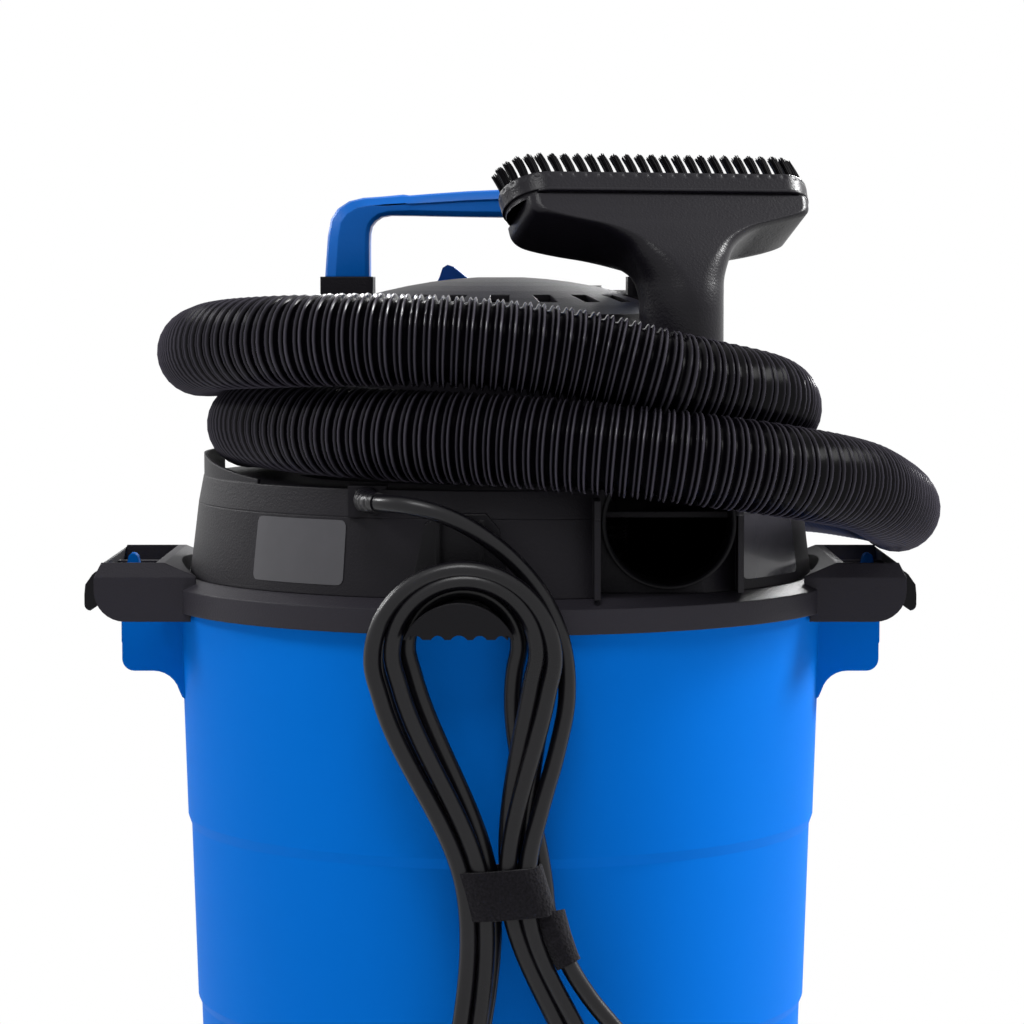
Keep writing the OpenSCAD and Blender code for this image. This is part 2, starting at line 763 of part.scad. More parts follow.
module switch_rocker() {
    pivot_r = 15.2;
    color(blue) switch_place() rotate([90, 0, 0]) {
        linear_extrude(28.4, center = true) polygon(concat(
            arc([0, 0], pivot_r, 195, 150, 5),
            [[-11.5, 12.5], [-9, 14], [-6, 13], [2, 6.5], [12.5, 5.5]],
            arc([0, 0], pivot_r, 18, -15, 5),
            [[6, -3.5], [-6, -3.5]]));
        cylinder(r = 1.6, h = 31.6, center = true);
    }
}

// ---- Fan and motor ----
fan_z = deck_z + gasket_t;
fan_top = fan_z + fan_h;
frame_t = 5;
frame_z = tray_z;
post_at = stator_r + 4;
stator_z = frame_z + frame_t + 8;
core_r = stator_r - 15;
bridge_z = stator_z + stator_h + 12;
bearing_r = shaft_r + 7;
comm_r = shaft_r + 8;

module fan_housing() {
    can = 1.5;
    color(steel) difference() {
        union() {
            translate([0, 0, fan_z]) cylinder(r = fan_r, h = fan_h);
            translate([0, 0, fan_top - e]) cylinder(r = motor_hole - 2, h = frame_z - fan_top);
        }
        translate([0, 0, fan_z + can]) cylinder(r = fan_r - can, h = fan_h - 2 * can);
        translate([0, 0, fan_z - 1]) cylinder(r = 20, h = 4);
        translate([0, 0, fan_top - 3]) cylinder(r = shaft_r + 2, h = 12);
        for (i = [0 : 7]) rotate([0, 0, 45 * i]) slab(fan_r - 4, fan_r + 2, -9, 9, fan_z + 9, fan_top - 5);
    }
}

module impeller() {
    low = fan_z + 4;
    high = fan_top - 5;
    color(steel) difference() {
        union() {
            translate([0, 0, high - 1.5]) cylinder(r = impeller_r, h = 1.5);
            translate([0, 0, low]) ring(impeller_r, 22, 1.5);
            translate([0, 0, low + 3]) cylinder(r = shaft_r + 5, h = high - low - 3);
            for (i = [0 : vane_count - 1]) rotate([0, 0, 360 * i / vane_count]) translate([0, 0, low + 1])
                vane(high - low - 2);
        }
        translate([0, 0, low - 1]) cylinder(r = shaft_r, h = fan_h);
    }
}

// One backward-curved vane between the two discs
module vane(h) {
    bend = 44;
    r = impeller_r - 1;
    linear_extrude(h) intersection() {
        difference() {
            translate([r / 2 + 4, -bend / 2]) circle(r = norm([r / 2, bend / 2]), $fn = 64);
            translate([r / 2 + 4, -bend / 2]) circle(r = norm([r / 2, bend / 2]) - 1.4, $fn = 64);
        }
        difference() {
            circle(r = r, $fn = 64);
            circle(r = 23, $fn = 48);
        }
        translate([0, -2]) square([r + 4, r]);
    }
}

module motor_seals() {
    color(black) {
        translate([0, 0, deck_z]) ring(fan_r, fan_r - 8, gasket_t);
        translate([0, 0, fan_top]) ring(fan_r, motor_hole - 2 + fit, tray_z - wall - fan_top);
    }
}

module motor_frame() {
    top = bridge_z + 6;
    color(steel) difference() {
        union() {
            translate([0, 0, frame_z]) cylinder(r = post_at + 5, h = frame_t);
            both_sides() slab(post_at, post_at + 5, -9, 9, frame_z, top);
            slab(-post_at - 5, post_at + 5, -9, 9, bridge_z, top);
            translate([0, 0, bridge_z]) cylinder(r = bearing_r + 3, h = 6);
        }
        translate([0, 0, frame_z - 1]) cylinder(r = bearing_r, h = frame_t + 2);
        translate([0, 0, bridge_z - 1]) cylinder(r = bearing_r, h = 8);
    }
}

module motor_bearings() {
    color(steel) {
        translate([0, 0, frame_z]) ring(bearing_r, shaft_r + 0.02, frame_t);
        translate([0, 0, bridge_z]) ring(bearing_r, shaft_r + 0.02, 6);
    }
}

module stator() {
    legs = 3;
    color(copper) translate([0, 0, stator_z]) difference() {
        union() {
            cylinder(r = stator_r, h = stator_h);
            translate([0, 0, -5]) ring(stator_r - 6, core_r + 2, stator_h + 10);
        }
        translate([0, 0, -8]) cylinder(r = core_r + 0.8, h = stator_h + 16);
        for (s = [-1, 1]) slab(-20, 20, s * stator_r - legs, s * stator_r + legs, -8, stator_h + 10);
    }
    foot_z = frame_z + frame_t;
    color(steel) for (a = [45 : 90 : 315]) rotate([0, 0, a]) translate([stator_r - 5, 0, foot_z])
        cylinder(r = 2.5, h = stator_z - foot_z + 1);
}

module armature() {
    teeth = 12;
    color(copper) difference() {
        union() {
            translate([0, 0, stator_z + 1]) linear_extrude(stator_h - 2) difference() {
                circle(r = core_r, $fn = 72);
                for (i = [0 : teeth - 1]) rotate(360 * i / teeth) translate([core_r, 0])
                    square([5, 2.4], center = true);
            }
            translate([0, 0, stator_z - 3]) cylinder(r = core_r - 7, h = stator_h + 6);
            translate([0, 0, stator_z + stator_h + 2]) cylinder(r = comm_r, h = 8);
        }
        translate([0, 0, stator_z - 4]) cylinder(r = shaft_r, h = stator_h + 20);
    }
}

shaft_lift = 5;         // its foot above the fan's plane
shaft_over = 10;        // its top above the bridge

module motor_shaft() {
    color(steel) translate([0, 0, fan_z + shaft_lift])
        cylinder(r = shaft_r, h = bridge_z + shaft_over - fan_z - shaft_lift);
}

module carbon_brushes() {
    z0 = stator_z + stator_h + 5.2;
    color(black) both_sides() {
        slab(comm_r + gap, post_at - 6, -3, 3, z0, z0 + 4.5);
        slab(post_at - 10, post_at, -5, 5, z0 - 0.1, z0 + 6);
    }
}

// ---- Filter ----
cage_top = deck_z - deck_t;
cage_z = cage_top - cage_h;
rows = 3;
bars = 8;
module filter_cage() {
    bar_w = 9;
    hoop = 8;
    open_h = (cage_h - 12 - hoop * (rows - 1) - 8) / rows;
    color(black) difference() {
        union() {
            translate([0, 0, cage_z]) cylinder(r = cage_r, h = cage_h);
            translate([0, 0, cage_top - 4]) cylinder(r = cage_flange, h = 4);
            translate([0, 0, cage_z - 12]) cylinder(r = 6, h = 13);
        }
        translate([0, 0, cage_z + 4]) cylinder(r = cage_r - 3, h = cage_h);
        for (k = [0 : rows - 1]) for (i = [0 : bars / 2 - 1]) rotate([0, 0, 360 * i / bars])
            translate([-cage_r - 5, -cage_r * sin(180 / bars) + bar_w / 2, cage_z + 8 + k * (open_h + hoop)])
                cube([2 * cage_r + 10, 2 * cage_r * sin(180 / bars) - bar_w, open_h]);
    }
}

module float_ball() {
    color(paper) translate([0, 0, cage_z + 4 + ball_r]) sphere(r = ball_r, $fn = 64);
}

pleat_in = cage_r + 3.5;
filter_h = cage_h + 2;
filter_z = cage_top - filter_h;
module cartridge_filter() {
    cap = 7;
    step = 180 / pleats;
    folds = [for (i = [0 : 2 * pleats - 1]) let (r = i % 2 == 0 ? filter_r - 2 : pleat_in + 3)
        r * [cos(i * step), sin(i * step)]];
    pleat_h = filter_h - 2 * cap + 2 * e;
    color(paper) translate([0, 0, filter_z + cap - e]) linear_extrude(pleat_h) difference() {
        polygon(folds);
        circle(r = pleat_in);
    }
    color(black) translate([0, 0, filter_z]) ring(filter_r, cage_r + 0.6, cap);
    color(black) translate([0, 0, cage_top - cap]) ring(filter_r, cage_flange + 4.6, cap);
}

module filter_retainer() {
    disc = 5;
    color(dark) translate([0, 0, filter_z - disc]) difference() {
        union() {
            cylinder(r = filter_r - 4, h = disc);
            translate([0, 0, -9]) cylinder(r = 16, h = 9 + e);
            for (i = [0 : 2]) rotate([0, 0, 60 * i]) slab(-filter_r + 16, filter_r - 16, -2.5, 2.5, -6, e);
        }
        translate([0, 0, -10]) cylinder(r = 6 + gap, h = 30);
        translate([0, 0, disc - 1]) cylinder(r = cage_r + 0.6, h = 5);
    }
}

// ---- Nozzle ----
head_z = top_z + nozzle_rise;
neck_z = post_z;
mouth_half = mouth_len / 2;
frame_h = 12;
// Stations up the neck: height, half length, half width, share of the tilt, squareness, share of the set-back
function nest(w) = w > 0 ? 0.1 : -0.1;
function stations(w) = let (f = flare_h, n = neck_r, h = mouth_half, v = mouth_w / 2) [
    [head_z - f, n - w + nest(w), n - w + nest(w), 0, 0, 0],
    [head_z - 0.9 * f, n - w + nest(w), n - w + nest(w), 0, 0, 0],
    [head_z - 0.76 * f, n + 0.4 - w, n - w, 0.03, 0, 0.04],
    [head_z - 0.62 * f, n + 1.6 - w, n - 0.2 - w, 0.15, 0.1, 0.14],
    [head_z - 0.48 * f, mix(n, h, 0.085) - w, mix(n, v, 0.2) - w, 0.45, 0.35, 0.3],
    [head_z - 0.4 * f, mix(n, h, 0.15) - w, mix(n, v, 0.35) - w, 0.68, 0.6, 0.44],
    [head_z - 0.33 * f, mix(n, h, 0.27) - w, mix(n, v, 0.5) - w, 0.84, 0.8, 0.55],
    [head_z - 0.28 * f, mix(n, h, 0.42) - w, mix(n, v, 0.65) - w, 0.93, 0.9, 0.63],
    [head_z - 0.24 * f, mix(n, h, 0.58) - w, mix(n, v, 0.8) - w, 0.98, 1, 0.7],
    [head_z - 0.2 * f, mix(n, h, 0.75) - w, mix(n, v, 0.9) - w, 1, 1, 0.76],
    [head_z - 0.16 * f, mix(n, h, 0.88) - w, v + 0.2 - w, 1, 1, 0.82],
    [head_z - 0.1 * f, mix(n, h, 0.94) - w, v + 0.1 - w, 1, 1, 0.9],
    [head_z, h - 1.5 - w, v - w, 1, 1, 1]
];
// A section that goes from round to a rectangle with rounded corners
function section(s, n) = [for (j = [0 : n - 1]) let (
        a = 360 * (j + 0.5) / n, c = cos(a), d = sin(a), r = mix(s[2], corner_r, s[4]),
        x = (c > 0 ? 1 : -1) * (s[1] - r) + r * c, y = (d > 0 ? 1 : -1) * (s[2] - r) + r * d,
        t = mouth_tilt * s[3])
    [x, y * cos(t) + mouth_set * s[5], s[0] - y * sin(t)]];
function reversed(p) = [for (i = [len(p) - 1 : -1 : 0]) p[i]];

// A wall that runs up the outer sections and down the inner ones, open at both ends
module tube_wall(rings) {
    n = len(rings[0]);
    m = len(rings);
    polyhedron(points = [for (r = rings) for (p = r) p], faces = [
        for (i = [0 : m - 1]) for (j = [0 : n - 1]) let (k = (j + 1) % n, u = (i + 1) % m)
            for (f = [[i * n + j, u * n + j, u * n + k], [i * n + j, u * n + k, i * n + k]]) f]);
}

module at_post() {
    translate([post_x, post_y, 0]) rotate([0, 0, nozzle_turn]) children();
}

module nozzle() {
    sides = 36;
    color(black) at_post() {
        tube_wall(concat([for (s = stations(0)) section(s, sides)],
            [for (s = reversed(stations(nozzle_wall))) section(s, sides)]));
        translate([0, 0, neck_z]) ring(neck_r, neck_r - nozzle_wall, head_z - flare_h + 2 - neck_z);
    }
}

module at_mouth() {
    at_post() translate([0, mouth_set, head_z]) rotate([-mouth_tilt, 0, 0]) children();
}

module slot_outline(grow) {
    half = mouth_half - mouth_w / 2;
    square([2 * half, mouth_w + 2 * grow], center = true);
    for (s = [-1, 1]) translate([s * half, 0]) circle(r = mouth_w / 2 + grow, $fn = 48);
}

module brush_frame() {
    color(black) at_mouth() difference() {
        linear_extrude(frame_h) slot_outline(0.8);
        translate([0, 0, -1]) linear_extrude(frame_h + 2) slot_outline(-5.5);
    }
}

module tuft() {
    cylinder(r = 2.1, h = bristle_len, $fn = 16);
}

module brush_bristles() {
    half = mouth_half - mouth_w / 2;
    along_n = 20;
    round_n = 9;
    row_y = mouth_w / 2 - 2.3;
    color(black) at_mouth() translate([0, 0, frame_h]) {
        for (i = [0 : along_n - 1]) for (s = [-1, 1])
            translate([mix(-half, half, i / (along_n - 1)), s * row_y, 0]) tuft();
        for (i = [1 : round_n - 1]) for (s = [-1, 1])
            translate([s * (half + row_y * sin(180 * i / round_n)), -row_y * cos(180 * i / round_n), 0])
                tuft();
    }
}

// ---- Hose ----
hose_y = elbow_y + elbow_bend;
hose_z = inlet_z - rim_z;
hose_route = [
    [52, hose_y, hose_z], [64, hose_y, hose_z], [98, 211, 41.5], [134, 188, 44], [167, 148, 46],
    [188, 95, 46.5],
    [197, 40, 47.5], [197, -15, 48], [186, -68, 56], [166, -114, 66], [136, -144, 73], [98, -158, 79],
    [55, -159, 84], [5, -152, 88], [-45, -138, 90], [-86, -110, 91.5], [-114, -66, 92.5], [-124, -15, 90],
    [-121, 40, 88], [-104, 88, 88], [-70, 123, 88.5], [-25, 140, 89.5], [22, 142, 90.5], [66, 130, 92],
    [99, 99, 93.5], [121, 60, 95], [131, 15, 96], [131, -32, 98], [132.5, -75, 100], [124, -114, 106],
    [84, -141, 115.5], [40, -144, 126], [-8, -146, 132], [-54, -142, 134], [-97, -126, 133],
    [-128, -92, 131], [-144, -45, 127.5], [-149, 8, 124.5], [-141, 58, 123.5], [-115, 103, 126],
    [-74, 133, 131], [-26, 146, 135], [10, 147, 136], [20, 147, 136]
];

module on_head() {
    translate([0, 0, rim_z]) children();
}

module hose() {
    color(black) on_head() tube(hose_route, hose_d, 12);
}

// The elbow plugs into the inlet port and turns the hose along the side of the head
module hose_elbow() {
    p = hose_route[0];
    bend = elbow_bend;
    cuff_r = hose_d / 2 + 1;
    plug_in = 22;
    color(black) translate([0, elbow_y, inlet_z]) difference() {
        union() {
            rotate([90, 0, 0]) translate([0, 0, -e]) cylinder(r = inlet_r - fit, h = plug_in);
            rotate([-90, 0, 0]) cylinder(r = inlet_out + 1, h = 5);
            translate([bend, 0, 0]) rotate([0, 0, 90]) rotate_extrude(angle = 90)
                translate([bend, 0]) circle(r = inlet_r - 1);
            translate([bend, bend, 0]) rotate([0, 90, 0]) cylinder(r = cuff_r, h = p[0] - bend);
        }
        rotate([90, 0, 0]) translate([0, 0, 3]) cylinder(r = inlet_r - 3, h = plug_in);
    }
}

module hose_cuff() {
    p = hose_route[len(hose_route) - 1];
    color(black) on_head() translate(p) rotate([0, 90, 0]) difference() {
        union() {
            cylinder(r = hose_d / 2 + 1, h = 34);
            translate([0, 0, 34 - e]) cylinder(r1 = hose_d / 2 + 1, r2 = hose_d / 2 - 1.5, h = 6);
            translate([0, 0, 40 - 2 * e]) cylinder(r = hose_d / 2 - 1.5, h = 36);
        }
        translate([0, 0, 6]) cylinder(r = 17, h = 90);
    }
}

// ---- Lead ----
lead_route = [
    [gland_x, gland_y - gland_out - gland_tip - gap, gland_z - rim_z], [-60.5, -150, 60.5],
    [-54, -158, 61], [-42, -162, 60.5], [-27, -163.5, 57],
    [-9, -165, 48], [8, -166, 35], [21, -170, 17], [30, -175, -5], [33, -177, -27], [29, -178, -51],
    [21, -178, -75]
];
hank_y = -flange_r - hank_gap;
hank_t = 18;
module lead() {
    color(black) on_head() tube(lead_route, lead_d, 8);
}

// A figure of eight: an open teardrop over the hook, and the long lower loops
module lead_hank() {
    waist = -114;
    foot = -262;
    color(black) on_head() translate([0, hank_y, 0]) rotate([90, 0, 0]) linear_extrude(hank_t) difference() {
        union() {
            hull() {
                translate([hook_x, peg_z - rim_z]) circle(r = 43, $fn = 40);
                translate([2, waist]) circle(r = 16, $fn = 32);
            }
            hull() {
                translate([2, waist]) circle(r = 16, $fn = 32);
                translate([12, foot + 42]) circle(r = 42, $fn = 40);
            }
        }
        hull() {
            translate([hook_x, peg_z - rim_z]) circle(r = peg_r + gap, $fn = 32);
            translate([-2, waist + 42]) circle(r = 3, $fn = 24);
        }
    }
}

module hank_strap() {
    color(black) on_head() translate([2, hank_y - hank_t / 2, -114]) rotate([0, 4, 0]) difference() {
        slab(-20, 20, -hank_t / 2 - 2, hank_t / 2 + 1, -13, 13);
        slab(-18, 18, -hank_t / 2 - 0.01, hank_t / 2 + 0.01, -14, 14);
    }
}

plug_x = 69;
plug_z = -264;
module plug() {
    body_w = 26;
    color(black) on_head() translate([plug_x, hank_y - 8, plug_z]) {
        hull() {
            slab(-body_w / 2, body_w / 2, -9, 9, 0, 10);
            translate([0, 0, 30]) cylinder(r = 7, h = 6, $fn = 32);
        }
        translate([0, 0, 35]) cylinder(r1 = 7, r2 = lead_d / 2 + 0.5, h = 24);
    }
    color(steel) on_head() translate([plug_x, hank_y - 8, plug_z]) for (s = [-1, 1])
        slab(s * 6.35 - 0.8, s * 6.35 + 0.8, -3.2, 3.2, -17, 1);
}

drum();
caster_sockets();
color(dark) at_caster(0) caster_fork();  // caster_fork_1
color(dark) at_caster(1) caster_fork();  // caster_fork_2
color(dark) at_caster(2) caster_fork();  // caster_fork_3
color(dark) at_caster(3) caster_fork();  // caster_fork_4
color(black) at_caster(0) caster_wheel();  // caster_wheel_1
color(black) at_caster(1) caster_wheel();  // caster_wheel_2
color(black) at_caster(2) caster_wheel();  // caster_wheel_3
color(black) at_caster(3) caster_wheel();  // caster_wheel_4
color(steel) at_caster(0) caster_pins();  // caster_pins_1
color(steel) at_caster(1) caster_pins();  // caster_pins_2
color(steel) at_caster(2) caster_pins();  // caster_pins_3
color(steel) at_caster(3) caster_pins();  // caster_pins_4
lid();
lid_gasket();
lower_housing();
hose_tray();
motor_cover();
carry_handle();
blower_port();
inlet_port();
cord_hook();
lead_gland();
housing_screws();
color(black) mirror([1, 0, 0]) latch();  // latch_left
color(black) latch();  // latch_right
latch_pins();
switch_rocker();
switch_body();
fan_housing();
impeller();
motor_seals();
motor_frame();
motor_bearings();
stator();
armature();
motor_shaft();
carbon_brushes();
filter_cage();
float_ball();
cartridge_filter();
filter_retainer();
nozzle();
brush_frame();
brush_bristles();
hose();
hose_elbow();
hose_cuff();
lead();
lead_hank();
hank_strap();
plug();
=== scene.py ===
import math
import random

import bmesh
import bpy
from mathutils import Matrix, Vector


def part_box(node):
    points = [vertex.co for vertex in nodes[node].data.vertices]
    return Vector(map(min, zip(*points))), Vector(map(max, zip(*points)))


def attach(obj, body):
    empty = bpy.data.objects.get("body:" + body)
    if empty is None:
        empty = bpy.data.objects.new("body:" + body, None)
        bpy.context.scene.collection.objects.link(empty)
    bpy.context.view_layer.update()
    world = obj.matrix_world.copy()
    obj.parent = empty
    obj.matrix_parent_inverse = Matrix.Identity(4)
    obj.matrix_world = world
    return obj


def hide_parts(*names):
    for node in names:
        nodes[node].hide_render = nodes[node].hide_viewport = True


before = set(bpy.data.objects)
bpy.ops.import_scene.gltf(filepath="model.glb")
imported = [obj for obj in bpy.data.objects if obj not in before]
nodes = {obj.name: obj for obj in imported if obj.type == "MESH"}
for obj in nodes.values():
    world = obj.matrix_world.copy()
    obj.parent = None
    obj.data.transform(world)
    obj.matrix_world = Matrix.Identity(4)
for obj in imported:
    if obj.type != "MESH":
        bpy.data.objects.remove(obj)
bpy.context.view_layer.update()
bpy.ops.object.select_all(action="DESELECT")
print("frame loaded:", len(nodes), "nodes")

mm = 0.001


# Camera

cameraView = {"place": (5.75, -1710.0, 526.0), "lens": 120.2, "pitch": 3.87, "roll": 0.0}


def addCamera():
    place = Vector(cameraView["place"]) * mm
    turn = (math.radians(90 - cameraView["pitch"]), math.radians(cameraView["roll"]), 0)
    bpy.ops.object.camera_add(location=place, rotation=turn)
    camera = bpy.context.object
    camera.data.lens = cameraView["lens"]
    camera.data.clip_start = 0.05
    bpy.context.scene.camera = camera
    camera.select_set(False)


addCamera()
print("camera placed")


# Shader maths and nodes

class Wire:  # a socket, so that shader maths reads as plain arithmetic
    def __init__(self, look, socket):
        self.look = look
        self.socket = socket

    def maths(self, operation, first, second):
        return self.look.node("ShaderNodeMath", {"operation": operation}, {0: first, 1: second})

    def __add__(self, other):
        return self.maths("ADD", self, other)

    def __radd__(self, other):
        return self.maths("ADD", other, self)

    def __sub__(self, other):
        return self.maths("SUBTRACT", self, other)

    def __rsub__(self, other):
        return self.maths("SUBTRACT", other, self)

    def __mul__(self, other):
        return self.maths("MULTIPLY", self, other)

    def __rmul__(self, other):
        return self.maths("MULTIPLY", other, self)


class Look:  # one material and its nodes
    def __init__(self, name):
        self.material = bpy.data.materials.new(name)
        self.material.use_nodes = True
        self.tree = self.material.node_tree
        self.shader = self.tree.nodes["Principled BSDF"]

    def node(self, kind, settings=None, values=None, out=0):
        made = self.tree.nodes.new(kind)
        for key, value in (settings or {}).items():
            if key == "stops":
                ramp = made.color_ramp
                while len(ramp.elements) < len(value):
                    ramp.elements.new(0.5)
                for stop, (place, tone) in zip(ramp.elements, value):
                    stop.position = place
                    stop.color = (tone, tone, tone, 1) if isinstance(tone, (int, float)) else (*tone, 1)
            else:
                setattr(made, key, value)
        for key, value in (values or {}).items():
            self.join(made.inputs[key], value)
        return Wire(self, made.outputs[out])

    def join(self, socket, value):
        if isinstance(value, Wire):
            self.tree.links.new(value.socket, socket)
        elif isinstance(value, (tuple, list)) and len(value) == 3 and len(socket.default_value) == 4:
            socket.default_value = (*value, 1)
        else:
            socket.default_value = value

    def place(self, scale=(1, 1, 1), turn=(0, 0, 0), shift=(0, 0, 0)):
        spot = self.node("ShaderNodeTexCoord", out=3)
        return self.node("ShaderNodeMapping", {}, {"Vector": spot, "Scale": scale, "Rotation": turn,
                                                   "Location": shift})

    def noise(self, size, detail=3.0, rough=0.5, vector=None, warp=0.0):
        vector = vector or self.place()
        return self.node("ShaderNodeTexNoise", {}, {"Vector": vector, "Scale": size, "Detail": detail,
                                                    "Roughness": rough, "Distortion": warp})

    def cells(self, size, vector=None, feature="F1"):
        vector = vector or self.place()
        return self.node("ShaderNodeTexVoronoi", {"feature": feature}, {"Vector": vector, "Scale": size})

    def ramp(self, wire, stops):
        return self.node("ShaderNodeValToRGB", {"stops": stops}, {0: wire})

    def blendTones(self, share, first, second, way="MIX"):
        return self.node("ShaderNodeMix", {"data_type": "RGBA", "blend_type": way},
                         {0: share, 6: first, 7: second}, out=2)

    def bump(self, height, strength, depth, edge=0.0):
        values = {"Height": height, "Strength": strength, "Distance": depth}
        if edge:
            values["Normal"] = self.softEdge(edge)
        self.join(self.shader.inputs["Normal"], self.node("ShaderNodeBump", {}, values))

    def softEdge(self, radius):
        return self.node("ShaderNodeBevel", {"samples": 6}, {"Radius": radius})

    def set(self, **values):
        names = {"color": "Base Color", "rough": "Roughness", "metal": "Metallic", "coat": "Coat Weight",
                 "coatRough": "Coat Roughness", "gloss": "Specular IOR Level", "sheen": "Sheen Weight"}
        for key, value in values.items():
            self.join(self.shader.inputs[names[key]], value)
        return self


def rgb(red, green, blue):  # a display colour from 0 to 255, as a linear one
    def line(v):
        v = v / 255
        return v / 12.92 if v <= 0.04045 else ((v + 0.055) / 1.055) ** 2.4
    return (line(red), line(green), line(blue))


# Finishes

finishes = {
    "drumBlue": rgb(0, 103, 196), "drumBlueDeep": rgb(0, 95, 188), "gripBlue": rgb(0, 98, 190),
    # darkGrey is a real dark plastic tone, set darker than the lid's flangeGrey partly as painted shade for the lower
    # housing under the hose
    "darkGrey": rgb(17, 15, 20), "darkGreyWorn": rgb(25, 23, 29), "flangeGrey": rgb(37, 35, 41),
    "flangeGreyWorn": rgb(40, 38, 44), "black": rgb(9, 8, 12), "blackWorn": rgb(16, 15, 19),
    "nozzleGrey": rgb(16, 14, 20), "nozzleGreyWorn": rgb(24, 22, 28), "hoseBlack": rgb(4, 3, 6),
    # the pale hose tone on this line is a painted highlight for the ridges of the hose's ribs
    "hoseRidgeHighlight": rgb(74, 71, 80), "leadBlack": rgb(9, 8, 12), "paper": rgb(232, 224, 206),
    "floatWhite": rgb(224, 222, 214)}


def mouldedPlastic(name, tone, wearAndHighlight, rough, grain, grainDepth, edge=0.0009, gloss=0.14):
    look = Look(name)
    broad = look.noise(9, 4, 0.55)
    fine = look.noise(grain, 2, 0.6)
    pits = look.cells(grain * 0.55)
    cloud = look.ramp(broad, [(0.35, 0.0), (0.7, 0.35)])
    look.set(color=look.blendTones(cloud, tone, wearAndHighlight),
             rough=rough + 0.10 * (broad - 0.5) + 0.06 * (fine - 0.5), gloss=gloss)
    look.bump(fine * 0.6 + pits * 0.4, 0.35, grainDepth, edge)
    return look.material


def blowMouldedBlue(name):
    look = Look(name)
    broad = look.noise(5, 4, 0.5, look.place((1, 1, 0.35)))
    skin = look.noise(240, 3, 0.6)
    ripple = look.noise(38, 2, 0.5, look.place((1, 1, 0.5)))
    scuff = look.ramp(look.noise(70, 6, 0.75, look.place((1, 1, 0.15))), [(0.66, 0.0), (0.8, 0.25)])
    tone = look.blendTones(look.ramp(broad, [(0.3, 0.0), (0.75, 0.8)]), finishes["drumBlue"],
                           finishes["drumBlueDeep"])
    look.set(color=look.blendTones(scuff * 0.25, tone, rgb(30, 120, 220)),
             rough=0.56 + 0.14 * (broad - 0.5) + scuff * 0.2 + 0.05 * (skin - 0.5), gloss=0.02)
    look.bump(ripple * 0.7 + skin * 0.3, 0.22, 0.0004, 0.0012)
    return look.material


def glossyHose(name):
    # painted highlight: the two ridges of each rib are painted paler than the grooves between, which keep the dark
    # tone as painted shade
    look = Look(name)
    broad = look.noise(14, 3, 0.5)
    haze = look.noise(90, 4, 0.6)
    crest = look.node("ShaderNodeAttribute", {"attribute_name": "crest"}, out="Fac")
    ridgeHighlight = look.ramp(crest, [(0.15, 0.0), (1.0, 1.0)]) * (0.6 + 0.6 * broad)
    look.set(color=look.blendTones(ridgeHighlight, finishes["hoseBlack"], finishes["hoseRidgeHighlight"]),
             rough=0.20 + 0.12 * (broad - 0.45) + 0.10 * (haze - 0.5), gloss=0.09)
    look.bump(haze, 0.15, 0.0002)
    return look.material


def leadSheath(name):
    look = Look(name)
    broad = look.noise(30, 3, 0.5)
    fine = look.noise(700, 2, 0.5)
    look.set(color=look.blendTones(look.ramp(broad, [(0.35, 0.0), (0.7, 0.7)]), finishes["leadBlack"],
                                   rgb(15, 14, 18)),
             rough=0.30 + 0.12 * (broad - 0.5) + 0.05 * (fine - 0.5), gloss=0.3)
    look.bump(fine, 0.12, 0.0002)
    return look.material


def wovenStrap(name):
    look = Look(name)
    spot = look.place()
    fuzz = look.noise(900, 4, 0.7, spot)
    loops = look.cells(650, spot)
    patch = look.noise(120, 3, 0.6, spot)
    look.set(color=look.blendTones(look.ramp(fuzz, [(0.35, 0.0), (0.7, 1.0)]), rgb(9, 8, 11), rgb(26, 24, 29)),
             rough=0.86 + 0.08 * (patch - 0.5), sheen=0.08, gloss=0.08)
    look.bump(fuzz * 0.6 + loops * 0.8, 0.8, 0.0006)
    return look.material


def softRubber(name):
    look = Look(name)
    broad = look.noise(40, 3, 0.5)
    look.set(color=look.blendTones(broad, rgb(26, 26, 27), rgb(40, 40, 41)), rough=0.62 + 0.12 * (broad - 0.5))
    look.bump(look.noise(500, 2), 0.2, 0.0003, 0.0006)
    return look.material


def platedSteel(name, tone=(0.56, 0.57, 0.6), streak=(1, 1, 30), rough=0.28):
    look = Look(name)
    drawn = look.noise(60, 4, 0.6, look.place(streak))
    broad = look.noise(12, 3)
    look.set(color=look.blendTones(look.ramp(broad, [(0.4, 0.0), (0.75, 0.5)]), tone, (0.40, 0.40, 0.42)),
             rough=rough + 0.14 * (drawn - 0.5), metal=1.0)
    look.bump(drawn, 0.15, 0.0002, 0.0005)
    return look.material


def copperCoils(name):
    look = Look(name)
    spot = look.place()
    turns = look.node("ShaderNodeTexWave", {"bands_direction": "DIAGONAL"}, {"Vector": spot, "Scale": 260.0,
                                                                           "Distortion": 3.0, "Detail": 2.0})
    broad = look.noise(30, 3)
    look.set(color=look.blendTones(turns, (0.28, 0.10, 0.04), (0.62, 0.28, 0.13)),
             rough=0.34 + 0.2 * (broad - 0.5), metal=0.85)
    look.bump(turns, 0.5, 0.0006)
    return look.material


def filterPaper(name):
    look = Look(name)
    fibre = look.noise(320, 5, 0.7, look.place((1, 1, 0.4)))
    grime = look.ramp(look.noise(18, 4, 0.6), [(0.45, 0.0), (0.8, 0.5)])
    look.set(color=look.blendTones(grime, finishes["paper"], rgb(196, 184, 160)), rough=0.9 + 0.06 * (fibre - 0.5))
    look.bump(fibre, 0.5, 0.0004)
    return look.material


def paleFloat(name):
    look = Look(name)
    broad = look.noise(25, 3)
    look.set(color=look.blendTones(broad, finishes["floatWhite"], rgb(206, 203, 192)),
             rough=0.42 + 0.1 * (broad - 0.5))
    look.bump(look.noise(300, 2), 0.15, 0.0003)
    return look.material


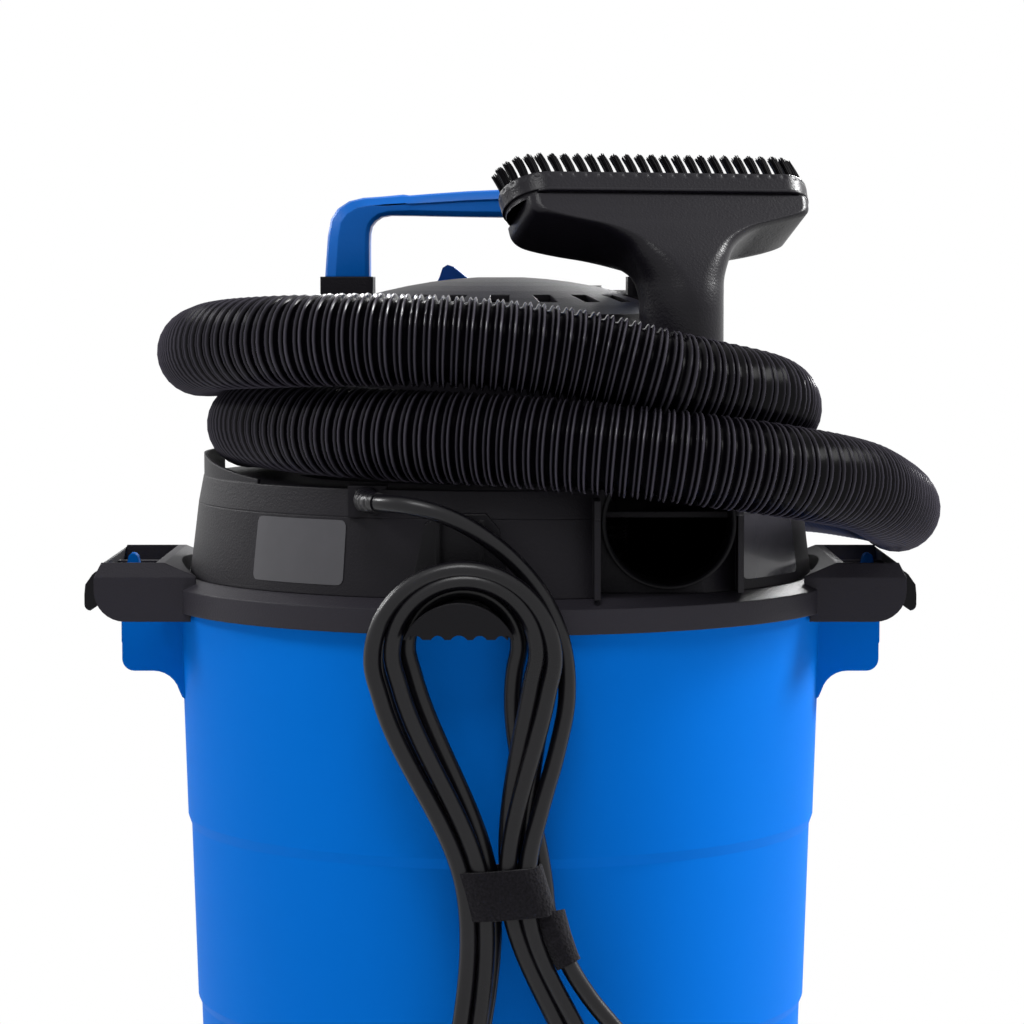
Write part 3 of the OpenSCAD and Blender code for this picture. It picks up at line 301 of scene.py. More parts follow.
def hardWheel(name):
    look = Look(name)
    scuff = look.ramp(look.noise(140, 5, 0.7, look.place((1, 0.2, 1))), [(0.45, 0.0), (0.75, 0.7)])
    look.set(color=look.blendTones(scuff, rgb(30, 30, 32), rgb(66, 65, 66)), rough=0.42 + scuff * 0.3)
    look.bump(look.noise(400, 3), 0.25, 0.0003, 0.0006)
    return look.material


def nylonHair(name):
    look = Look(name)
    tone = look.noise(350, 2, 0.5, look.place((1, 1, 0.1)))
    look.set(color=look.blendTones(tone, rgb(4, 3, 6), rgb(14, 12, 15)),
             rough=0.4 + 0.1 * (tone - 0.5), gloss=0.12)
    look.bump(tone, 0.1, 0.0001)
    return look.material


def blankFilm(name):
    look = Look(name)
    broad = look.noise(60, 3)
    look.set(color=look.blendTones(broad, rgb(44, 43, 48), rgb(54, 53, 58)), rough=0.24 + 0.12 * (broad - 0.5),
             coat=0.2)
    look.bump(look.noise(90, 2), 0.08, 0.0002)
    return look.material


looks = {
    "drumBlue": blowMouldedBlue("drumBlue"),
    "gripBlue": mouldedPlastic("gripBlue", finishes["gripBlue"], rgb(0, 106, 200), 0.36, 900, 0.0002, 0.0008, 0.2),
    "darkPlastic": mouldedPlastic("darkPlastic", finishes["darkGrey"], finishes["darkGreyWorn"], 0.50, 1500,
                                  0.0005, 0.0011),
    "flangePlastic": mouldedPlastic("flangePlastic", finishes["flangeGrey"], finishes["flangeGreyWorn"], 0.52,
                                    1500, 0.0005, 0.0011),
    "coverPlastic": mouldedPlastic("coverPlastic", finishes["darkGrey"], finishes["darkGreyWorn"], 0.44, 1500,
                                   0.0005, 0.0011, 0.12),
    "blackPlastic": mouldedPlastic("blackPlastic", finishes["black"], finishes["blackWorn"], 0.44, 1500, 0.0004),
    "hosePlastic": glossyHose("hosePlastic"),
    "leadSheath": leadSheath("leadSheath"),
    "sealRubber": softRubber("sealRubber"),
    "wheelPlastic": hardWheel("wheelPlastic"),
    "platedSteel": platedSteel("platedSteel"),
    "pressedAluminium": platedSteel("pressedAluminium", (0.72, 0.73, 0.75), (1, 1, 1), 0.36),
    "castMetal": platedSteel("castMetal", (0.5, 0.5, 0.52), (1, 1, 1), 0.5),
    "copperCoils": copperCoils("copperCoils"),
    "carbon": mouldedPlastic("carbon", rgb(40, 40, 42), rgb(60, 60, 62), 0.6, 600, 0.0003),
    "filterPaper": filterPaper("filterPaper"),
    "paleFloat": paleFloat("paleFloat"),
    "nozzlePlastic": mouldedPlastic("nozzlePlastic", finishes["nozzleGrey"], finishes["nozzleGreyWorn"], 0.33,
                                    1300, 0.0004, 0.0009, 0.2),
    "brassBlade": platedSteel("brassBlade", (0.66, 0.60, 0.42), (1, 1, 1), 0.3),
    "nylonHair": nylonHair("nylonHair"),
    "wovenStrap": wovenStrap("wovenStrap"),
    "blankFilm": blankFilm("blankFilm")}

dressedNodes = {
    "drumBlue": ["drum"],
    "gripBlue": ["carry_handle", "switch_rocker"],
    "flangePlastic": ["lid"],
    "coverPlastic": ["motor_cover"],
    # the lower housing wears darkGrey rather than the lid's flangeGrey partly as painted shade from the hose above it
    "darkPlastic": ["caster_sockets", "lower_housing", "hose_tray", "inlet_port",
                    "filter_retainer"] + ["caster_fork_%d" % i for i in (1, 2, 3, 4)],
    "blackPlastic": ["blower_port", "cord_hook", "latch_left", "latch_right", "switch_body", "filter_cage",
                     "nozzle", "brush_frame", "hose_elbow", "hose_cuff"],
    "hosePlastic": ["hose"],
    "leadSheath": ["lead", "lead_hank", "plug", "lead_gland"],
    "sealRubber": ["lid_gasket", "motor_seals"],
    "wheelPlastic": ["caster_wheel_%d" % i for i in (1, 2, 3, 4)],
    "platedSteel": ["housing_screws", "latch_pins", "fan_housing", "motor_bearings", "motor_shaft"]
    + ["caster_pins_%d" % i for i in (1, 2, 3, 4)],
    "pressedAluminium": ["impeller"],
    "castMetal": ["motor_frame"],
    "copperCoils": ["stator", "armature"],
    "carbon": ["carbon_brushes"],
    "filterPaper": ["cartridge_filter"],
    "paleFloat": ["float_ball"],
    "nylonHair": ["brush_bristles"],
    "wovenStrap": ["hank_strap"]}


def dressNodes():
    for look, names in dressedNodes.items():
        for name in names:
            slots = nodes[name].material_slots
            if not slots:
                nodes[name].data.materials.append(looks[look])
            for spot in slots:
                spot.material = looks[look]


dressNodes()
print("finishes made:", len(looks))


# Shared modelling steps

def clearSelection():
    bpy.ops.object.select_all(action="DESELECT")


def startPiece(kind, name, **settings):
    clearSelection()
    getattr(bpy.ops.mesh, "primitive_" + kind + "_add")(**settings)
    piece = bpy.context.object
    piece.name = name
    piece.data.name = name
    return piece


def useAlone(piece):
    clearSelection()
    piece.select_set(True)
    bpy.context.view_layer.objects.active = piece


def faceOutwards():
    # leaves edit mode with every normal outwards
    bpy.ops.mesh.select_all(action="SELECT")
    bpy.ops.mesh.normals_make_consistent(inside=False)
    bpy.ops.object.mode_set(mode="OBJECT")


def meshPiece(name, points, faces):
    mesh = bpy.data.meshes.new(name)
    mesh.from_pydata([tuple(p) for p in points], [], faces)
    piece = bpy.data.objects.new(name, mesh)
    bpy.context.scene.collection.objects.link(piece)
    useAlone(piece)
    bpy.ops.object.mode_set(mode="EDIT")
    faceOutwards()
    return piece


def applyModifier(piece, kind, **settings):
    useAlone(piece)
    modifier = piece.modifiers.new(kind.title(), kind)
    for key, value in settings.items():
        setattr(modifier, key, value)
    bpy.ops.object.modifier_apply(modifier=modifier.name)


def cutAway(piece, tool, name):
    # takes the tool's shape out of the piece and removes the tool
    useAlone(piece)
    cut = piece.modifiers.new(name, "BOOLEAN")
    cut.operation = "DIFFERENCE"
    cut.object = tool
    bpy.ops.object.modifier_apply(modifier=cut.name)
    bpy.data.objects.remove(tool)


def loft(name, rings, closed=False):
    # a circle extruded once for each further ring, then each point put in its place
    count = len(rings[0])
    piece = startPiece("circle", name, vertices=count, radius=0.01)
    bpy.ops.object.mode_set(mode="EDIT")
    grid = bmesh.from_edit_mesh(piece.data)
    place = grid.verts.layers.int.new("place")
    grid.verts.ensure_lookup_table()
    for vert in grid.verts:
        vert[place] = vert.index
    bmesh.update_edit_mesh(piece.data)
    for _ in rings[1:]:
        bpy.ops.mesh.extrude_region_move()
    grid = bmesh.from_edit_mesh(piece.data)
    place = grid.verts.layers.int["place"]
    grid.verts.ensure_lookup_table()
    for vert in grid.verts:
        vert.co = rings[vert.index // count][vert[place]]
        vert.select_set(vert.index < count or vert.index >= count * (len(rings) - 1))
    grid.select_flush_mode()
    for edge in grid.edges:
        edge.select_set(edge.is_boundary)
    grid.verts.layers.int.remove(place)
    bmesh.update_edit_mesh(piece.data)
    if closed:
        bpy.ops.mesh.bridge_edge_loops()
    else:
        bpy.ops.mesh.fill_holes(sides=0)
    faceOutwards()
    return piece


def finishPiece(piece, body, look, smooth=32, stands=()):
    useAlone(piece)
    bpy.ops.object.transform_apply(location=True, rotation=True, scale=True)
    bpy.ops.object.shade_smooth_by_angle(angle=math.radians(smooth))
    piece.data.materials.clear()
    piece.data.materials.append(looks[look])
    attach(piece, body)
    if stands:
        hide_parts(*stands)
    clearSelection()
    return piece


class Route:  # a smooth line through points given in millimetres
    def __init__(self, points):
        given = [Vector(p) * mm for p in points]
        chords = [(b - a).length for a, b in zip(given, given[1:])]
        slopes = []
        for i in range(len(given)):
            if i == 0:
                slopes.append((given[1] - given[0]) / chords[0])
            elif i == len(given) - 1:
                slopes.append((given[-1] - given[-2]) / chords[-1])
            else:
                before, after = chords[i - 1], chords[i]
                slopes.append(((given[i] - given[i - 1]) / before * after
                               + (given[i + 1] - given[i]) / after * before) / (before + after))
        self.fine = []
        for i, chord in enumerate(chords):
            a, b = given[i], given[i + 1]
            for k in range(16):
                t = k / 16
                self.fine.append(a * (2 * t ** 3 - 3 * t ** 2 + 1) + slopes[i] * chord * (t ** 3 - 2 * t ** 2 + t)
                                 + b * (3 * t ** 2 - 2 * t ** 3) + slopes[i + 1] * chord * (t ** 3 - t ** 2))
        self.fine.append(given[-1])
        self.marks = [0.0]
        for a, b in zip(self.fine, self.fine[1:]):
            self.marks.append(self.marks[-1] + (b - a).length)
        self.length = self.marks[-1]
        self.at = 0

    def spot(self, s):
        if s < self.marks[self.at]:
            self.at = 0
        while self.at < len(self.marks) - 2 and self.marks[self.at + 1] < s:
            self.at += 1
        a, b = self.marks[self.at], self.marks[self.at + 1]
        return self.fine[self.at].lerp(self.fine[self.at + 1], (s - a) / (b - a))

    def along(self, step):
        count = max(2, round(self.length / step))
        return [self.spot(self.length * i / count) for i in range(count + 1)]


def sweepRings(route, places, sides):
    # a ring of points round the route for each (distance, radius)
    points = []
    side = None
    reach = 0.0015
    for s, radius in places:
        ahead = route.spot(min(s + reach, route.length)) - route.spot(max(s - reach, 0))
        ahead.normalize()
        if side is None:
            side = Vector((0, 0, 1)).cross(ahead) if abs(ahead.z) < 0.9 else Vector((0, 1, 0)).cross(ahead)
        side = (side - ahead * side.dot(ahead)).normalized()
        other = ahead.cross(side)
        centre = route.spot(s)
        for j in range(sides):
            turn = 2 * math.pi * j / sides
            points.append(centre + (side * math.cos(turn) + other * math.sin(turn)) * radius)
    faces = []
    for i in range(len(places) - 1):
        for j in range(sides):
            k = (j + 1) % sides
            faces.append((i * sides + j, i * sides + k, (i + 1) * sides + k, (i + 1) * sides + j))
    faces.append(tuple(range(sides - 1, -1, -1)))
    faces.append(tuple((len(places) - 1) * sides + j for j in range(sides)))
    return points, faces


# Hose

# each rib row: share of the pitch, radius in mm, and share of the painted ridge highlight
hoseValues = {"diameter": 43.0, "pitch": 6.05, "sides": 28, "base": 365.0,
              "rib": [(0.0, 18.4, 0.0), (0.07, 19.4, 0.0), (0.14, 20.8, 0.3), (0.23, 21.5, 1.0), (0.33, 21.0, 0.3),
                      (0.42, 19.8, 0.0), (0.51, 20.5, 0.2), (0.61, 21.2, 0.65), (0.71, 20.8, 0.2), (0.83, 18.8, 0.0)]}
hoseRoute = [
    (52, 217.5, 40.5), (64, 217.5, 40.5), (98, 211, 41.5), (134, 188, 44), (167, 148, 46),
    (188, 95, 46.5), (197, 40, 47.5), (197, -15, 48), (186, -68, 56), (166, -114, 66), (136, -144, 73),
    (98, -158, 79), (55, -159, 84), (5, -152, 88), (-45, -138, 90), (-86, -110, 91.5),
    (-114, -66, 92.5), (-124, -15, 90), (-121, 40, 88), (-104, 88, 88), (-70, 123, 88.5),
    (-25, 140, 89.5), (22, 142, 90.5), (66, 130, 92), (99, 99, 93.5), (121, 60, 95), (131, 15, 96),
    (131, -32, 98), (132.5, -75, 100), (124, -114, 106), (84, -141, 115.5), (40, -144, 126),
    (-8, -146, 132), (-54, -142, 134), (-97, -126, 133), (-128, -92, 131), (-144, -45, 127.5),
    (-149, 8, 124.5), (-141, 58, 123.5), (-115, 103, 126), (-74, 133, 131), (-26, 146, 135),
    (10, 147, 136), (20, 147, 136)]


def makeHose():
    base = hoseValues["base"]
    route = Route([(x, y, z + base) for x, y, z in hoseRoute])
    ribs = int(route.length / (hoseValues["pitch"] * mm))
    pitch = route.length / ribs
    places = [((i + share) * pitch, radius * mm) for i in range(ribs) for share, radius, _ in hoseValues["rib"]]
    places.append((route.length, hoseValues["rib"][0][1] * mm))
    points, faces = sweepRings(route, places, hoseValues["sides"])
    hose = meshPiece("ribbedHose", points, faces)
    # each ring's share of the painted ridge highlight, handed to the shader as a point attribute
    wearAndHighlight = [tone for _ in range(ribs) for _, _, tone in hoseValues["rib"]] + [0.0]
    crest = hose.data.attributes.new("crest", "FLOAT", "POINT")
    crest.data.foreach_set("value", [tone for tone in wearAndHighlight for _ in range(hoseValues["sides"])])
    finishPiece(hose, "head", "hosePlastic", 55, ["hose"])
    path = route.along(0.01)
    print("hose made: %d ribs, %.2f m" % (ribs, route.length))
    return hose


makeHose()


# Mains lead, wound in a hank on the hook

leadValues = {"diameter": 8.1, "sides": 16, "step": 0.003, "front": -184.0, "back": -175.0, "waist": 251.0,
              "lobe": (12.0, 145.0), "last": 20.5}
leadStart = [
    (-61, -142.4, 425.5), (-61, -147.5, 425.5), (-58.9, -158.2, 425.5), (-52.8, -167.3, 425.6),
    (-43.7, -173.4, 425.2), (-33, -175.5, 423.2), (-20, -174.5, 418.5), (-5, -172, 409.5), (9, -169.5, 397),
    (21, -169.8, 381), (29, -174, 360), (30.5, -176, 338), (26, -177.5, 314), (19, -180, 289), (13.5, -183.5, 266)]
# One entry for each turn: its layer, the upper loop's centre and radius, the lower loop's radius,
# and where it passes the strap on its way down and on its way up
hankTurns = [
    {"layer": "front", "top": (-16.2, 356.0), "upper": 40.8, "lower": 37.5, "down": 12.3, "up": -15.5},
    {"layer": "front", "top": (-15.5, 359.0), "upper": 32.6, "lower": 29.2, "down": 4.0, "up": -7.3},
    {"layer": "back", "top": (-13.5, 355.0), "upper": 37.0, "lower": 36.0, "down": 4.8, "up": -11.8},
    {"layer": "back", "top": (-16.3, 361.3), "upper": 25.3, "lower": 27.6, "down": 12.9, "up": -3.6}]
leadEnd = [(22, -177.5, 240), (27, -181, 227), (33.5, -183, 214), (41, -183, 202.5), (51, -182, 190),
           (61, -180, 178), (67, -178.5, 167), (69, -178, 156), (69, -178, 143), (69, -178, 131)]


def loopSpots(centre, radius, depth, first, last, count):
    spots = []
    for i in range(count + 1):
        turn = math.radians(first + (last - first) * i / count)
        spots.append((centre[0] + radius * math.cos(turn), depth, centre[1] + radius * math.sin(turn)))
    return spots


def hankSpots():
    spots = []
    waist = leadValues["waist"]
    for turn in hankTurns:
        depth = leadValues[turn["layer"]]
        spots.append((turn["down"], depth, waist))
        spots += loopSpots(leadValues["lobe"], turn["lower"], depth, 22, -202, 10)
        spots.append((turn["up"], depth, waist))
        spots += loopSpots(turn["top"], turn["upper"], depth, 205, -22, 10)
    spots.append((leadValues["last"], leadValues["back"], waist + 2))
    return spots


def makeLead():
    route = Route(leadStart + hankSpots() + leadEnd)
    step = leadValues["step"]
    count = round(route.length / step)
    radius = leadValues["diameter"] / 2 * mm
    places = [(route.length * i / count, radius) for i in range(count + 1)]
    points, faces = sweepRings(route, places, leadValues["sides"])
    lead = meshPiece("mainsLead", points, faces)
    finishPiece(lead, "head", "leadSheath", 60, ["lead", "lead_hank"])
    print("lead made: %.2f m" % route.length)
    return lead, route


mainsLead, leadLine = makeLead()
leadPath = leadLine.along(0.004)


# Strain reliefs: ribbed sleeves that taper along the lead

reliefValues = {"length": 24.0, "wide": 6.1, "thin": 4.7, "ribs": 5, "steps": 8, "groove": 0.45}


def makeRelief(name, start, way, body):
    # follows the lead from the distance given, forwards or backwards
    ribs = reliefValues["ribs"]
    places = []
    steps = reliefValues["steps"]
    for i in range(ribs * steps + 1):
        share = i / (ribs * steps)
        radius = reliefValues["wide"] + (reliefValues["thin"] - reliefValues["wide"]) * share
        groove = reliefValues["groove"] if 0 < i % steps < 3 else 0.0
        places.append((start + way * share * reliefValues["length"] * mm, (radius - groove) * mm))
    if way < 0:
        places.reverse()
    points, faces = sweepRings(leadLine, places, 28)
    relief = meshPiece(name, points, faces)
    return finishPiece(relief, body, "leadSheath", 40)


glandRelief = makeRelief("leadRelief", 0.0, 1, "head")


# Plug: a moulded grip with finger dips, two flat blades and its own relief

plugValues = {"width": 26.0, "deep": 18.0, "grip": 31.0, "bladeGap": 6.35, "bladeWide": 6.4, "bladeThick": 1.5,
              "bladeLong": 16.5, "around": 40, "dipRadius": 30.0, "dipLong": 12.0, "dipOut": 28.2, "dipUp": 12.5}
# Up the grip: height, width and depth, each as a share of the whole
plugRows = [(0.0, 0.80, 0.78), (0.05, 0.94, 0.94), (0.12, 1.0, 1.0), (0.34, 1.0, 0.98), (0.50, 0.9, 0.86),
            (0.66, 0.78, 0.76), (0.84, 0.66, 0.72), (0.96, 0.56, 0.68), (1.0, 0.50, 0.62)]


def makePlug():
    low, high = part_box("plug")
    middle = (low + high) / 2
    base = low.z + (plugValues["bladeLong"] + 0.5) * mm
    rings = []
    for height, wide, deep in plugRows:
        across, thick = plugValues["width"] / 2 * wide * mm, plugValues["deep"] / 2 * deep * mm
        ring = []
        for j in range(plugValues["around"]):
            turn = 2 * math.pi * j / plugValues["around"]
            c, s = math.cos(turn), math.sin(turn)
            square = 2 / (3.4 - 1.2 * height)
            ring.append(Vector((middle.x + math.copysign(abs(c) ** square, c) * across,
                                middle.y + math.copysign(abs(s) ** square, s) * thick,
                                base + plugValues["grip"] * height * mm)))
        rings.append(ring)
    plug = loft("mainsPlug", rings)
    applyModifier(plug, "SUBSURF", levels=2, render_levels=2)
    for side in (-1, 1):
        out = middle.y + side * (plugValues["deep"] / 2 + plugValues["dipOut"]) * mm
        dip = startPiece("cylinder", "plugDip", vertices=48, radius=plugValues["dipRadius"] * mm,
                         depth=plugValues["dipLong"] * mm, location=(middle.x, out, base + plugValues["dipUp"] * mm),
                         rotation=(0, math.pi / 2, 0))
        cutAway(plug, dip, "dip")
    finishPiece(plug, "head", "leadSheath", 38, ["plug"])
    blades = []
    for side in (-1, 1):
        blade = startPiece("cube", "plugBlade", size=1, location=(middle.x + side * plugValues["bladeGap"] * mm,
                                                                  middle.y, base - 0.0075))
        blade.scale = (plugValues["bladeThick"] * mm, plugValues["bladeWide"] * mm, 0.017)
        useAlone(blade)
        bpy.ops.object.transform_apply(location=False, rotation=False, scale=True)
        applyModifier(blade, "BEVEL", width=0.0005, segments=2)
        hole = startPiece("cylinder", "bladeHole", vertices=24, radius=0.0017, depth=0.01,
                          location=(middle.x + side * plugValues["bladeGap"] * mm, middle.y, base - 0.0115),
                          rotation=(0, math.pi / 2, 0))
        cutAway(blade, hole, "hole")
        blade.name = "plugBlade" + ("Left" if side < 0 else "Right")
        blades.append(finishPiece(blade, "head", "brassBlade", 30))
    return [plug] + blades


plugPieces = makePlug()
plugRelief = makeRelief("plugRelief", leadLine.length - 0.0005, -1, "head")


# Strap: a hook-and-loop band round the hank, with a small loop for the last strand

strapValues = {"middle": (2.6, -179.6, 250.4), "wide": 21.3, "deep": 11.4, "tall": 22.5, "thick": 1.3,
               "lean": 0.29, "rise": 0.078, "laps": 1.3, "steps": 132, "start": -150, "square": 0.78,
               "climb": 0.12, "over": 1.15}
# The small loop: where it starts and ends below the strap, its sides, the share that its bore takes,
# and along it each ring's share of the way and radius
loopValues = {"tail": (13.0, 38.0), "sides": 30, "bore": 0.84,
              "rings": [(0.0, 8.0), (0.12, 7.9), (0.5, 7.0), (0.88, 6.1), (1.0, 6.0)]}


def makeStrap():
    middle = strapValues["middle"]
    count, climb, over = strapValues["steps"], strapValues["climb"], strapValues["over"]
    square = strapValues["square"]
    rings = []
    for i in range(count + 1):
        share = i / count
        turn = math.radians(strapValues["start"]) + 2 * math.pi * strapValues["laps"] * share
        laps = share * strapValues["laps"]  # the second lap climbs on to the first
        lap = strapValues["thick"] * (over * max(0.0, laps - 1 + climb) / climb if laps < 1 else over)
        c, s = math.cos(turn), math.sin(turn)
        spots = []
        for out, up in ((0, -0.5), (0, 0.5), (1, 0.5), (1, -0.5)):
            grow = lap + out * strapValues["thick"]
            x = math.copysign(abs(c) ** square, c) * (strapValues["wide"] - 2 * strapValues["thick"] + grow)
            y = math.copysign(abs(s) ** square, s) * (strapValues["deep"] - 2 * strapValues["thick"] + grow)
            z = up * strapValues["tall"]
            x += -z * strapValues["lean"]
            spots.append(Vector((middle[0] + x, middle[1] + y, middle[2] + z + x * strapValues["rise"])) * mm)
        rings.append(spots)
    band = loft("strapBand", rings)
    applyModifier(band, "BEVEL", width=0.0003, segments=2, limit_method="ANGLE")
    finishPiece(band, "head", "wovenStrap", 40, ["hank_strap"])
    return band


def leadTailLength(fromStrap):
    # how much lead is left at a distance below the strap on the last strand
    tail = Route([(leadValues["last"], leadValues["back"], leadValues["waist"] + 2)] + leadEnd)
    return tail.length - fromStrap * mm


def makeStrapLoop():
    # a short sleeve round the last strand, wider where it leaves the band
    start, stop = [leadLine.length - leadTailLength(z) for z in loopValues["tail"]]
    sides = loopValues["sides"]
    places = [(start + (stop - start) * share, radius * mm) for share, radius in loopValues["rings"]]
    points, _ = sweepRings(leadLine, places, sides)
    outer = [points[i * sides:(i + 1) * sides] for i in range(len(places))]
    inner = []
    for (s, _), ring in zip(reversed(places), reversed(outer)):
        centre = leadLine.spot(s)
        inner.append([centre + (point - centre) * loopValues["bore"] for point in ring])
    sleeve = loft("strapLoop", outer + inner, closed=True)
    return finishPiece(sleeve, "head", "wovenStrap", 40)


strapBand = makeStrap()
strapLoop = makeStrapLoop()
plugPieces + [plugRelief, glandRelief, strapBand, strapLoop]
print("lead, plug and strap made")


# Nozzle: a round neck that flares into a leaning mouth

nozzleValues = {"post": (86.0, -88.0), "turn": 22.0, "tilt": 30.0, "head": 558.0, "width": 18.0,
                "back": 26.0, "corner": 3.4, "wall": 2.5, "sides": 96, "steps": 5,
                "endSlope": 0.10}
# Down from the mouth: drop, half length, half width, share of the tilt, squareness, share of the set-back
nozzleStations = [
    (0.0, 79.0, 18.0, 1.0, 1.0, 1.0), (5.0, 78.4, 18.1, 1.0, 1.0, 0.9), (8.0, 75.2, 18.2, 1.0, 1.0, 0.82),
    (10.0, 67.5, 18.2, 1.0, 1.0, 0.76), (12.0, 56.5, 18.4, 0.98, 0.98, 0.70),
    (14.0, 45.0, 18.7, 0.93, 0.92, 0.63), (16.5, 36.2, 19.0, 0.84, 0.82, 0.55),
    (20.0, 29.0, 19.3, 0.68, 0.62, 0.44), (24.0, 25.1, 19.6, 0.45, 0.36, 0.30),
    (31.0, 21.6, 19.8, 0.15, 0.1, 0.14), (38.0, 20.4, 20.0, 0.03, 0.02, 0.04), (45.0, 20.0, 20.0, 0.0, 0.0, 0.0),
    (109.7, 20.0, 20.0, 0.0, 0.0, 0.0)]


def atPost(x, y, z):
    turn = math.radians(nozzleValues["turn"])
    c, s = math.cos(turn), math.sin(turn)
    post = nozzleValues["post"]
    return Vector((post[0] + x * c - y * s, post[1] + x * s + y * c, z)) * mm


def atMouth(x, y, z):
    tilt = math.radians(nozzleValues["tilt"])
    c, s = math.cos(tilt), math.sin(tilt)
    return atPost(x, nozzleValues["back"] + y * c + z * s, nozzleValues["head"] - y * s + z * c)


def nozzleRing(station, inset):
    drop, half, width, tilt, square, back = station
    half, width = half - inset, width - inset
    corner = width + (nozzleValues["corner"] - width) * square
    lean = math.radians(nozzleValues["tilt"] * tilt)
    ring = []
    for j in range(nozzleValues["sides"]):
        turn = 2 * math.pi * (j + 0.5) / nozzleValues["sides"]
        c, s = math.cos(turn), math.sin(turn)
        x = math.copysign(half - corner, c) + corner * c
        y = math.copysign(width - corner, s) + corner * s
        x *= 1 - nozzleValues["endSlope"] * square * (abs(y) / width) ** 1.3
        ring.append(atPost(x, y * math.cos(lean) + nozzleValues["back"] * back,
                           nozzleValues["head"] - drop - y * math.sin(lean)))
    return ring


def between(stations, steps):
    # stations in between, each value eased through its neighbours without overshoot
    fine = []
    for i in range(len(stations) - 1):
        a, b = stations[i], stations[i + 1]
        before = stations[i - 1] if i else a
        after = stations[i + 2] if i + 2 < len(stations) else b
        gap = b[0] - a[0]
        for k in range(steps):
            t = k / steps
            values = []
            for at in range(len(a)):
                first = (b[at] - before[at]) / max(b[0] - before[0], 1e-6) * gap
                last = (after[at] - a[at]) / max(after[0] - a[0], 1e-6) * gap
                step = b[at] - a[at]
                limit = 3 * abs(step)
                first = max(-limit, min(limit, first)) if first * step > 0 else 0.0
                last = max(-limit, min(limit, last)) if last * step > 0 else 0.0
                values.append(a[at] * (2 * t ** 3 - 3 * t ** 2 + 1) + first * (t ** 3 - 2 * t ** 2 + t)
                              + b[at] * (3 * t ** 2 - 2 * t ** 3) + last * (t ** 3 - t ** 2))
            fine.append(tuple(values))
    fine.append(stations[-1])
    return fine


def makeNozzle():
    stations = between(nozzleStations, nozzleValues["steps"])
    outer = [nozzleRing(s, 0.0) for s in reversed(stations)]
    inner = [nozzleRing(s, nozzleValues["wall"]) for s in stations]
    nozzle = loft("utilityNozzle", outer + inner, closed=True)
    return finishPiece(nozzle, "nozzle", "nozzlePlastic", 45, ["nozzle"])


makeNozzle()


# Brush: a band with a rail along each straight side, and tufts set round its top

brushValues = {"straight": 61.0, "alongTufts": 19, "roundTufts": 9, "perTuft": 8, "rail": 1.7, "groove": -1.0,
               "railReach": 68.0, "dimple": 0.5, "landWide": 5.0, "landOver": 7, "landFrom": -4, "top": 12.0}
tuftValues = {"inset": 2.4, "radius": 1.85, "hairs": 30, "long": 10.3, "farShift": 2.2, "out": 0.9, "lean": -2.9,
              "swing": 0.4, "thick": 0.36, "spread": 0.22}
# Height above the mouth, how far it stands out, and which detail shapes it there
brushRows = [
    (0.0, 0.0, "groove"), (0.9, 0.0, "groove"), (1.1, 0.5, "rail"), (1.4, 0.7, "rail"), (2.3, 0.7, "rail"),
    (2.6, 0.5, "rail"), (2.8, 0.2, "plain"), (3.2, 0.2, "plain"), (8.2, 0.6, "plain"), (8.9, 0.7, "plain"),
    (9.5, 0.7, "dimple"), (10.4, 0.7, "dimple"), (11.2, 0.6, "plain"), (11.7, 0.4, "plain"), (12.0, -0.2, "plain"),
    (12.0, -4.6, "plain"), (11.4, -5.4, "plain"), (0.5, -5.5, "plain"), (0.0, -5.1, "plain")]


def roundMouth(t, reach):
    # the point at t tufts round the band, at a distance from the middle line, and whether it is on a straight
    half, along, turnTufts = brushValues["straight"], brushValues["alongTufts"], brushValues["roundTufts"]
    t = t % (2 * (along + turnTufts))
    side = -1 if t < along + turnTufts else 1
    t = t % (along + turnTufts)
    if t <= along:
        return -side * (2 * half * t / along - half), side * reach
    turn = math.pi * (t - along) / turnTufts
    return -side * (half + reach * math.sin(turn)), side * reach * math.cos(turn)


def makeBrushFrame():
    tufts = 2 * (brushValues["alongTufts"] + brushValues["roundTufts"])
    count = tufts * brushValues["perTuft"]
    rings = []
    for height, reach, kind in brushRows:
        ring = []
        for j in range(count):
            t = j / brushValues["perTuft"]
            x, y = roundMouth(t, nozzleValues["width"])
            grow = reach
            if reach < brushValues["landFrom"]:  # the land is wider round the ends
                past = max(0.0, abs(x) - brushValues["straight"])
                grow -= brushValues["landWide"] * min(1.0, past / brushValues["landOver"])
            if kind == "rail":
                grow += brushValues["rail"] - 0.7 if abs(x) < brushValues["railReach"] else brushValues["groove"] - 0.7
            elif kind == "groove":
                grow += brushValues["groove"]
            elif kind == "dimple":
                grow -= brushValues["dimple"] * max(0.0, math.cos(2 * math.pi * t)) ** 1.5
            x, y = roundMouth(t, nozzleValues["width"] + grow)
            ring.append(atMouth(x, y, height))
        rings.append(ring)
    band = loft("brushBand", rings, closed=True)
    return finishPiece(band, "nozzle", "nozzlePlastic", 38, ["brush_frame"])


